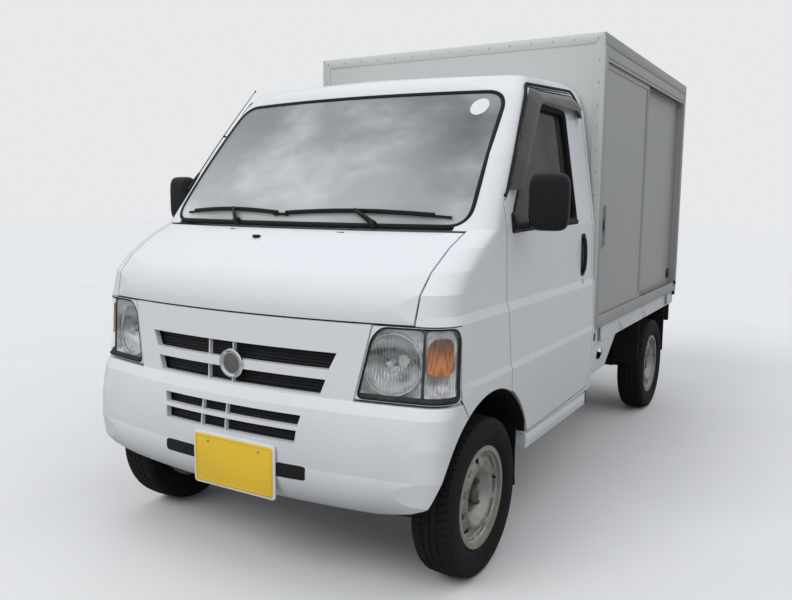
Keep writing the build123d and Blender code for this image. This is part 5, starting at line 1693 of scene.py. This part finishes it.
class TRUCK_OT_seats(bpy.types.Operator):
    """Makes the two seats: crowned cushions and backs with sewn channels, and headrests"""
    bl_idname = "truck.seats"
    bl_label = "Seats"

    def pillow(self, half, square, crown, channels, depth=0.007):
        """A crowned closed form. It is a superellipsoid with exponent square, stretched upwards by
        crown * (1 - x squared) * (1 - y squared), sunk along each channel by a bell curve and along
        the rim's seam by a narrow one."""
        u = even_turns(160)[None]
        v = np.linspace(-np.pi / 2, np.pi / 2, 82)[1:-1, None]
        x = power(np.cos(v), square) * power(np.cos(u), square)
        y = power(np.cos(v), square) * power(np.sin(u), square)
        z = power(np.sin(v), square) * np.ones_like(u)
        z = z * (1 + crown * (1 - x ** 2) * (1 - y ** 2) * (z > 0))
        for axis, at in channels:
            run = x if axis == "x" else y
            z = z - depth / half[2] * np.exp(-((run - at) / 0.018) ** 2) * (z > 0.3)
        seam = 1 - 0.014 * np.exp(-(z / 0.06) ** 2)
        return capped(stacked(x * seam * half[0], y * seam * half[1], z * half[2]))

    def execute(self, context):
        cushion = self.pillow((0.242, 0.195, 0.058), 0.30, 0.20,
                              (("x", -0.52), ("x", 0.52), ("y", -0.35), ("y", 0.30)))
        back = self.pillow((0.238, 0.235, 0.042), 0.30, 0.35,
                           (("x", -0.55), ("x", 0.55), ("y", -0.45), ("y", 0.0), ("y", 0.45)))
        head = self.pillow((0.122, 0.076, 0.036), 0.42, 0.35, (("y", -0.2),), 0.003)
        for side, x in (("left", 0.330), ("right", -0.330)):
            base = spun(moved(cushion, (x, 0.730, 0.752)), (x, 0.730, 0.752), (1, 0, 0), 2)
            lean = moved(spun(back, (0, 0, 0), (1, 0, 0), 76), (x, 0.966, 1.050))
            rest = moved(spun(head, (0, 0, 0), (1, 0, 0), 80), (x, 1.018, 1.376))
            stems = [tube([(x + s, 1.014, 1.265), (x + s, 1.026, 1.345)], 0.006, 10, (0, 1, 0))
                     for s in (-0.06, 0.06)]
            for name, shape in (("seat_cushion_", base), ("seat_back_", lean), ("headrest_", rest)):
                covers = ("seats",) if name + side == "seat_cushion_left" else ()
                put(name + side, shape, "cloth", 60, covers)
            put("headrest_stems_" + side, joined(*stems), "chrome", 40)
        return {"FINISHED"}


class TRUCK_OT_interior(bpy.types.Operator):
    """Fits out the cab: instrument cowl with dials, air vents, radio and heater knobs, glovebox
    lid, gear and brake levers, pedals, inside mirror and sun visors"""
    bl_idname = "truck.interior"
    bl_label = "Cab interior"

    def execute(self, context):
        high = wrapped([(0.150, 1.084), (0.188, 1.010)])[0]
        low = wrapped([(0.188, 1.010), (0.170, 0.905)])[0]
        cowl = brick((-0.500, 0.040, 1.070), (-0.170, 0.168, 1.132), 0.024)
        knobs, vents, slats, clocks = [], [], [], []
        for x in (-0.575, -0.080, 0.110, 0.575):
            loop = spread(rounded(0.105, 0.052, 0.010, 5) + (x, 0.044), 60)
            vents.append(layer(high, loop, offset(loop, -0.008), -0.001, 0.006, 3,
                               (0.0, 0.005, 0.005, -0.0005)))
            for s in (0.030, 0.038, 0.046, 0.054):
                slats.append(tube(high(np.linspace(x - 0.044, x + 0.044, 5), s, 0.0022), 0.0018, 8,
                                  (0, 1, 0), 0.5))
        glass_face = spread(rounded(0.290, 0.050, 0.016, 6) + (-0.335, 1.102), 80)
        dial_face = plate(glass_face, 0.1665, 0.1705, "xz", 0.001, 2)
        for x, r in ((-0.415, 0.020), (-0.335, 0.022), (-0.255, 0.020)):
            clocks.append(loop_bar(stood(ellipse((x, 1.102), r, 40), 0.1708), 0.0009, 6, (0, 1, 0)))
            for a in np.radians(np.arange(-40, 221, 26)):
                ends = np.outer((r * 0.78, r * 0.92), (np.cos(a), np.sin(a)))
                clocks.append(tube([(x + e[0], 0.1708, 1.102 + e[1]) for e in ends], 0.0006, 6,
                                   (0, 1, 0)))
        radio = layer(low, spread(rounded(0.180, 0.050, 0.004, 4) + (0.015, 0.028), 60), None,
                      -0.001, 0.005, 6)
        heater = layer(low, spread(rounded(0.180, 0.036, 0.004, 4) + (0.015, 0.080), 60), None,
                       -0.001, 0.003, 6)
        for x, s, r in ((-0.055, 0.028, 0.009), (0.085, 0.028, 0.009), (-0.045, 0.080, 0.011),
                        (0.015, 0.080, 0.011), (0.075, 0.080, 0.011)):
            base, tip = low(x, s, 0.002), low(x, s, 0.018)
            knobs.append(tube([base, base * 0.3 + tip * 0.7, tip], (r, r * 0.95, r * 0.85), 18,
                              (1, 0, 0)))
        lid = spread(rounded(0.360, 0.086, 0.012, 6) + (0.370, 0.052), 100)
        glovebox = layer(low, lid, offset(lid, -0.034), -0.001, 0.0035, 4,
                         (0.0, 0.0030, 0.0035, 0.0035, 0.0035))
        catch = layer(low, spread(rounded(0.060, 0.014, 0.004, 4) + (0.370, 0.020), 40), None, 0.0,
                      0.0075, 5)
        put("dash_cowl", joined(cowl, *vents), "dash", 40)
        put("dash_panels", joined(dial_face, radio, heater, *slats, *knobs, catch),
            "black", 40)
        put("dash_dials", joined(*clocks), "white", 40)
        put("glovebox_lid", glovebox, "trim", 40)
        lever = tube([(0.0, 0.520, 0.432), (0.0, 0.505, 0.600), (-0.010, 0.470, 0.760)],
                     (0.009, 0.008, 0.007), 12, (1, 0, 0))
        ball = np.radians(np.linspace(-88, 88, 15))
        knob_line = stacked(0.026 * np.sin(ball), 0.022 * np.cos(ball))
        knob = turned(np.concatenate([knob_line, knob_line[::-1] * (0.9, 0.8)]),
                      (-0.012, 0.464, 0.780), "z", 28)
        boot = turned([(0.0, 0.055), (0.018, 0.050), (0.032, 0.036), (0.050, 0.030), (0.066, 0.018),
                       (0.110, 0.011), (0.108, 0.006), (0.060, 0.012), (0.0, 0.045)],
                      (0.0, 0.518, 0.430), "z", 32)
        brake = tube([(0.028, 0.860, 0.700), (0.028, 0.760, 0.735), (0.028, 0.640, 0.800),
                      (0.028, 0.540, 0.838)], (0.011, 0.011, 0.013, 0.014), 14, (1, 0, 0))
        put("cab_levers", joined(lever, knob, boot, brake), "black", 40)
        pedals = []
        for x, wide in ((-0.430, 0.055), (-0.335, 0.060), (-0.235, 0.045)):
            pedals.append(tube([(x, 0.060, 0.840), (x, 0.090, 0.700), (x, 0.105, 0.585)], 0.0065,
                               10, (1, 0, 0), 1.0))
            pad = brick((x - wide / 2, 0.100, 0.550), (x + wide / 2, 0.112, 0.620), 0.004)
            pedals.append(spun(pad, (x, 0.106, 0.585), (1, 0, 0), 22))
        put("pedals", joined(*pedals), "black", 40)
        glass_loop = rounded(0.215, 0.058, 0.022, 8)
        mirror_back = plate(glass_loop + (0.0, 1.545), 0.372, 0.390, "xz", 0.006, 3)
        stem = tube([(0.0, 0.372, 1.552), (0.0, 0.345, 1.575), (0.0, 0.330, 1.600)],
                    (0.007, 0.006, 0.011), 10, (1, 0, 0))
        put("inside_mirror", joined(mirror_back, stem), "black", 40)
        mirror_face = plate(offset(glass_loop, -0.005) + (0.0, 1.545), 0.3895, 0.3910, "xz", 0.0005,
                            2)
        put("inside_mirror_glass", mirror_face, "chrome", 40)
        shades = []
        for x in (-0.335, 0.335):
            panel = plate(rounded(0.360, 0.150, 0.022, 6) + (x, 0.0), -0.008, 0.008, "xy", 0.006, 3)
            shades.append(spun(moved(panel, (0.0, 0.430, 1.625)), (0.0, 0.430, 1.625), (1, 0, 0),
                               12))
            shades.append(tube([(x - 0.14, 0.362, 1.608), (x + 0.14, 0.362, 1.608)], 0.005, 10,
                               (0, 0, 1)))
        put("sun_visors", joined(*shades), "trim", 40)
        return {"FINISHED"}


class TRUCK_OT_running_gear(bpy.types.Operator):
    """Adds the coil springs of the front struts, the rear shock absorbers, brake pipes and the
    ribs, sump and pulley of the engine block"""
    bl_idname = "truck.running_gear"
    bl_label = "Running gear"

    def execute(self, context):
        low, high = np.array([0.5270, 0.0, 0.5450]), np.array([0.5165, 0.0, 0.6020])
        share = np.linspace(0, 1, 220)
        turn = share * 4 * 2 * np.pi
        axis = (high - low) / np.linalg.norm(high - low)
        across = np.cross(axis, (0, 1, 0))
        coil = low + np.outer(share, high - low)
        coil = coil + 0.037 * (np.outer(np.cos(turn), across) + np.outer(np.sin(turn), (0, 1, 0)))
        put("front_springs", both(tube(coil, 0.0042, 8)), "seal", 50)
        damper = joined(tube([(0.450, 2.480, 0.225), (0.435, 2.530, 0.360)], 0.019, 18, (1, 0, 0)),
                        tube([(0.435, 2.530, 0.355), (0.420, 2.580, 0.490)], 0.024, 18, (1, 0, 0)),
                        tube([(0.415, 2.480, 0.225), (0.470, 2.480, 0.225)], 0.013, 14, (0, 0, 1)),
                        tube([(0.365, 2.582, 0.490), (0.435, 2.582, 0.490)], 0.013, 14, (0, 0, 1)))
        put("rear_dampers", both(damper), "frame", 45)
        pipe_path = np.array([(0.312, -0.20, 0.400), (0.312, 0.90, 0.392), (0.312, 1.35, 0.455),
                              (0.312, 1.80, 0.540), (0.312, 2.30, 0.540), (0.312, 2.42, 0.450)])
        pipe = tube(line(*pipe_path, count=80), 0.0035, 8, (1, 0, 0))
        put("brake_pipes", copies(pipe, [(0, 0, 0), (-0.014, 0.0, 0.004)]), "zinc",
            50)
        ribs = [brick((-0.362, y - 0.005, 0.260), (0.362, y + 0.005, 0.470), 0.002)
                for y in np.linspace(1.56, 1.98, 8)]
        sump = plate(rounded(0.560, 0.400, 0.050, 6) + (0.0, 1.770), 0.197, 0.215, "xy", 0.006, 3)
        bolt = plate(ellipse((0, 0), 0.008, 6), 0.192, 0.200, "xy", 0.001, 2)
        bolts = copies(bolt, [(x, y, 0) for x in (-0.25, -0.09, 0.09, 0.25)
                              for y in (1.595, 1.945)])
        pulley = turned([(0.0, 0.030), (0.0, 0.082), (-0.006, 0.086), (-0.010, 0.074),
                         (-0.018, 0.074), (-0.022, 0.086), (-0.028, 0.082), (-0.028, 0.030)],
                        (0.10, 1.498, 0.330), "y", 48)
        drain = tube([(0.0, 1.80, 0.197), (0.0, 1.80, 0.184)], 0.012, 6, (1, 0, 0))
        put("engine_castings", joined(*ribs, sump, bolts, drain, pulley), "rusty",
            35)
        return {"FINISHED"}


floor_reach = 30.0
lamps = [
    # name, direction to the lamp, watts per square metre, angle in degrees
    ("key", (-0.35, -1.0, 1.0), 1.10, 30.0),
    ("side", (1.0, -0.2, 1.1), 0.40, 60.0),
]
# The camera: its place, its turns about the three axes in radians and its lens in millimetres
camera_place = (1.67562, -2.20288 + front_axle_y, 1.23114)
camera_turn, camera_dip, camera_roll = 0.5345227, 0.1326867, 0.0069200
camera_lens, camera_film = 34.69, 36.0


class TRUCK_OT_stage(bpy.types.Operator):
    """Sets the pale floor, the soft studio light and the camera"""
    bl_idname = "truck.stage"
    bl_label = "Stage"

    def execute(self, context):
        scene = context.scene
        floor_mesh = bpy.data.meshes.new("floor")
        corners = [(x * floor_reach, y * floor_reach, 0)
                   for x, y in ((-1, -1), (1, -1), (1, 1), (-1, 1))]
        floor_mesh.from_pydata(corners, [], [(0, 1, 2, 3)])
        floor_mesh.materials.append(studio_floor("floor paint", (0.79, 0.79, 0.79)))
        floor = bpy.data.objects.new("floor", floor_mesh)
        scene.collection.objects.link(floor)

        scene.world = bpy.data.worlds.new("studio")
        sky = Book("studio", scene.world, "Generated")
        ray = {kind: sky.node("ShaderNodeLightPath", {}, {}, f"Is {kind} Ray")
               for kind in ("Camera", "Transmission", "Glossy")}
        seen = sky.place.math("MAXIMUM", ray["Camera"], ray["Transmission"])
        lowest = ray["Glossy"] * 0.20 + 0.22
        rise = sky.band(sky.axis("Z"), -0.05, 0.75, lowest, 0.85)
        soft = sky.node("ShaderNodeBackground", {}, {"Color": (0.93, 0.96, 1.0), "Strength": rise})
        pale = sky.node("ShaderNodeBackground", {}, {"Color": (0.80, 0.81, 0.82), "Strength": 1.0})
        sky.end(sky.node("ShaderNodeMixShader", {}, {"Fac": seen, 1: soft, 2: pale}),
                "ShaderNodeOutputWorld")

        for name, toward, watts, angle in lamps:
            lamp = bpy.data.lights.new(name, "SUN")
            lamp.energy = watts
            lamp.angle = np.radians(angle)
            holder = bpy.data.objects.new(name, lamp)
            holder.rotation_euler = Vector(toward).to_track_quat("Z", "Y").to_euler()
            holder.location = Vector(toward) * 4
            holder.visible_glossy = False
            scene.collection.objects.link(holder)

        turn, dip, roll = camera_turn, camera_dip, camera_roll
        ahead = Vector((-np.sin(turn) * np.cos(dip), np.cos(turn) * np.cos(dip), -np.sin(dip)))
        right = Vector((np.cos(turn), np.sin(turn), 0.0))
        up = right.cross(ahead)
        right_rolled = right * np.cos(roll) + up * np.sin(roll)
        up_rolled = up * np.cos(roll) - right * np.sin(roll)
        view = bpy.data.cameras.new("camera")
        view.sensor_fit = "HORIZONTAL"
        view.sensor_width = camera_film
        view.lens = camera_lens
        view.clip_start = 0.05
        view.clip_end = 200.0
        camera = bpy.data.objects.new("camera", view)
        axes = Matrix((right_rolled, up_rolled, -ahead)).transposed().to_4x4()
        camera.matrix_world = Matrix.Translation(camera_place) @ axes
        scene.collection.objects.link(camera)
        scene.camera = camera
        scene.view_settings.view_transform = "Standard"
        return {"FINISHED"}


makers = (TRUCK_OT_cad_finishes, TRUCK_OT_tyres, TRUCK_OT_wheels, TRUCK_OT_grille, TRUCK_OT_plate,
          TRUCK_OT_headlamps, TRUCK_OT_windscreen, TRUCK_OT_wipers, TRUCK_OT_door_trim,
          TRUCK_OT_cab_trim, TRUCK_OT_wheel_arches, TRUCK_OT_shut_lines, TRUCK_OT_box_profiles,
          TRUCK_OT_side_door_fittings, TRUCK_OT_rear_door_fittings, TRUCK_OT_bed_fittings,
          TRUCK_OT_tail_lamps, TRUCK_OT_seats, TRUCK_OT_interior, TRUCK_OT_running_gear,
          TRUCK_OT_stage)


class TRUCK_PT_panel(bpy.types.Panel):
    """Lists the truck's pieces in the sidebar"""
    bl_idname = "TRUCK_PT_panel"
    bl_label = "Small Box Truck"
    bl_space_type = "VIEW_3D"
    bl_region_type = "UI"
    bl_category = "Truck"

    def draw(self, context):
        scene = context.scene
        for settings in (scene.truck_colours, scene.truck_sizes):
            for key in type(settings).__annotations__:
                self.layout.prop(settings, key)
        for maker in makers:
            self.layout.operator(maker.bl_idname)


classes = (TruckColours, TruckSizes, *makers, TRUCK_PT_panel)


def register():
    for cls in classes:
        bpy.utils.register_class(cls)
    bpy.types.Scene.truck_colours = bpy.props.PointerProperty(type=TruckColours)
    bpy.types.Scene.truck_sizes = bpy.props.PointerProperty(type=TruckSizes)


def unregister():
    del bpy.types.Scene.truck_sizes
    del bpy.types.Scene.truck_colours
    for cls in reversed(classes):
        bpy.utils.unregister_class(cls)


def main():
    register()
    for maker in makers:
        getattr(bpy.ops.truck, maker.bl_idname.split(".")[1])()
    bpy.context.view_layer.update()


if __name__ == "__main__":
    main()
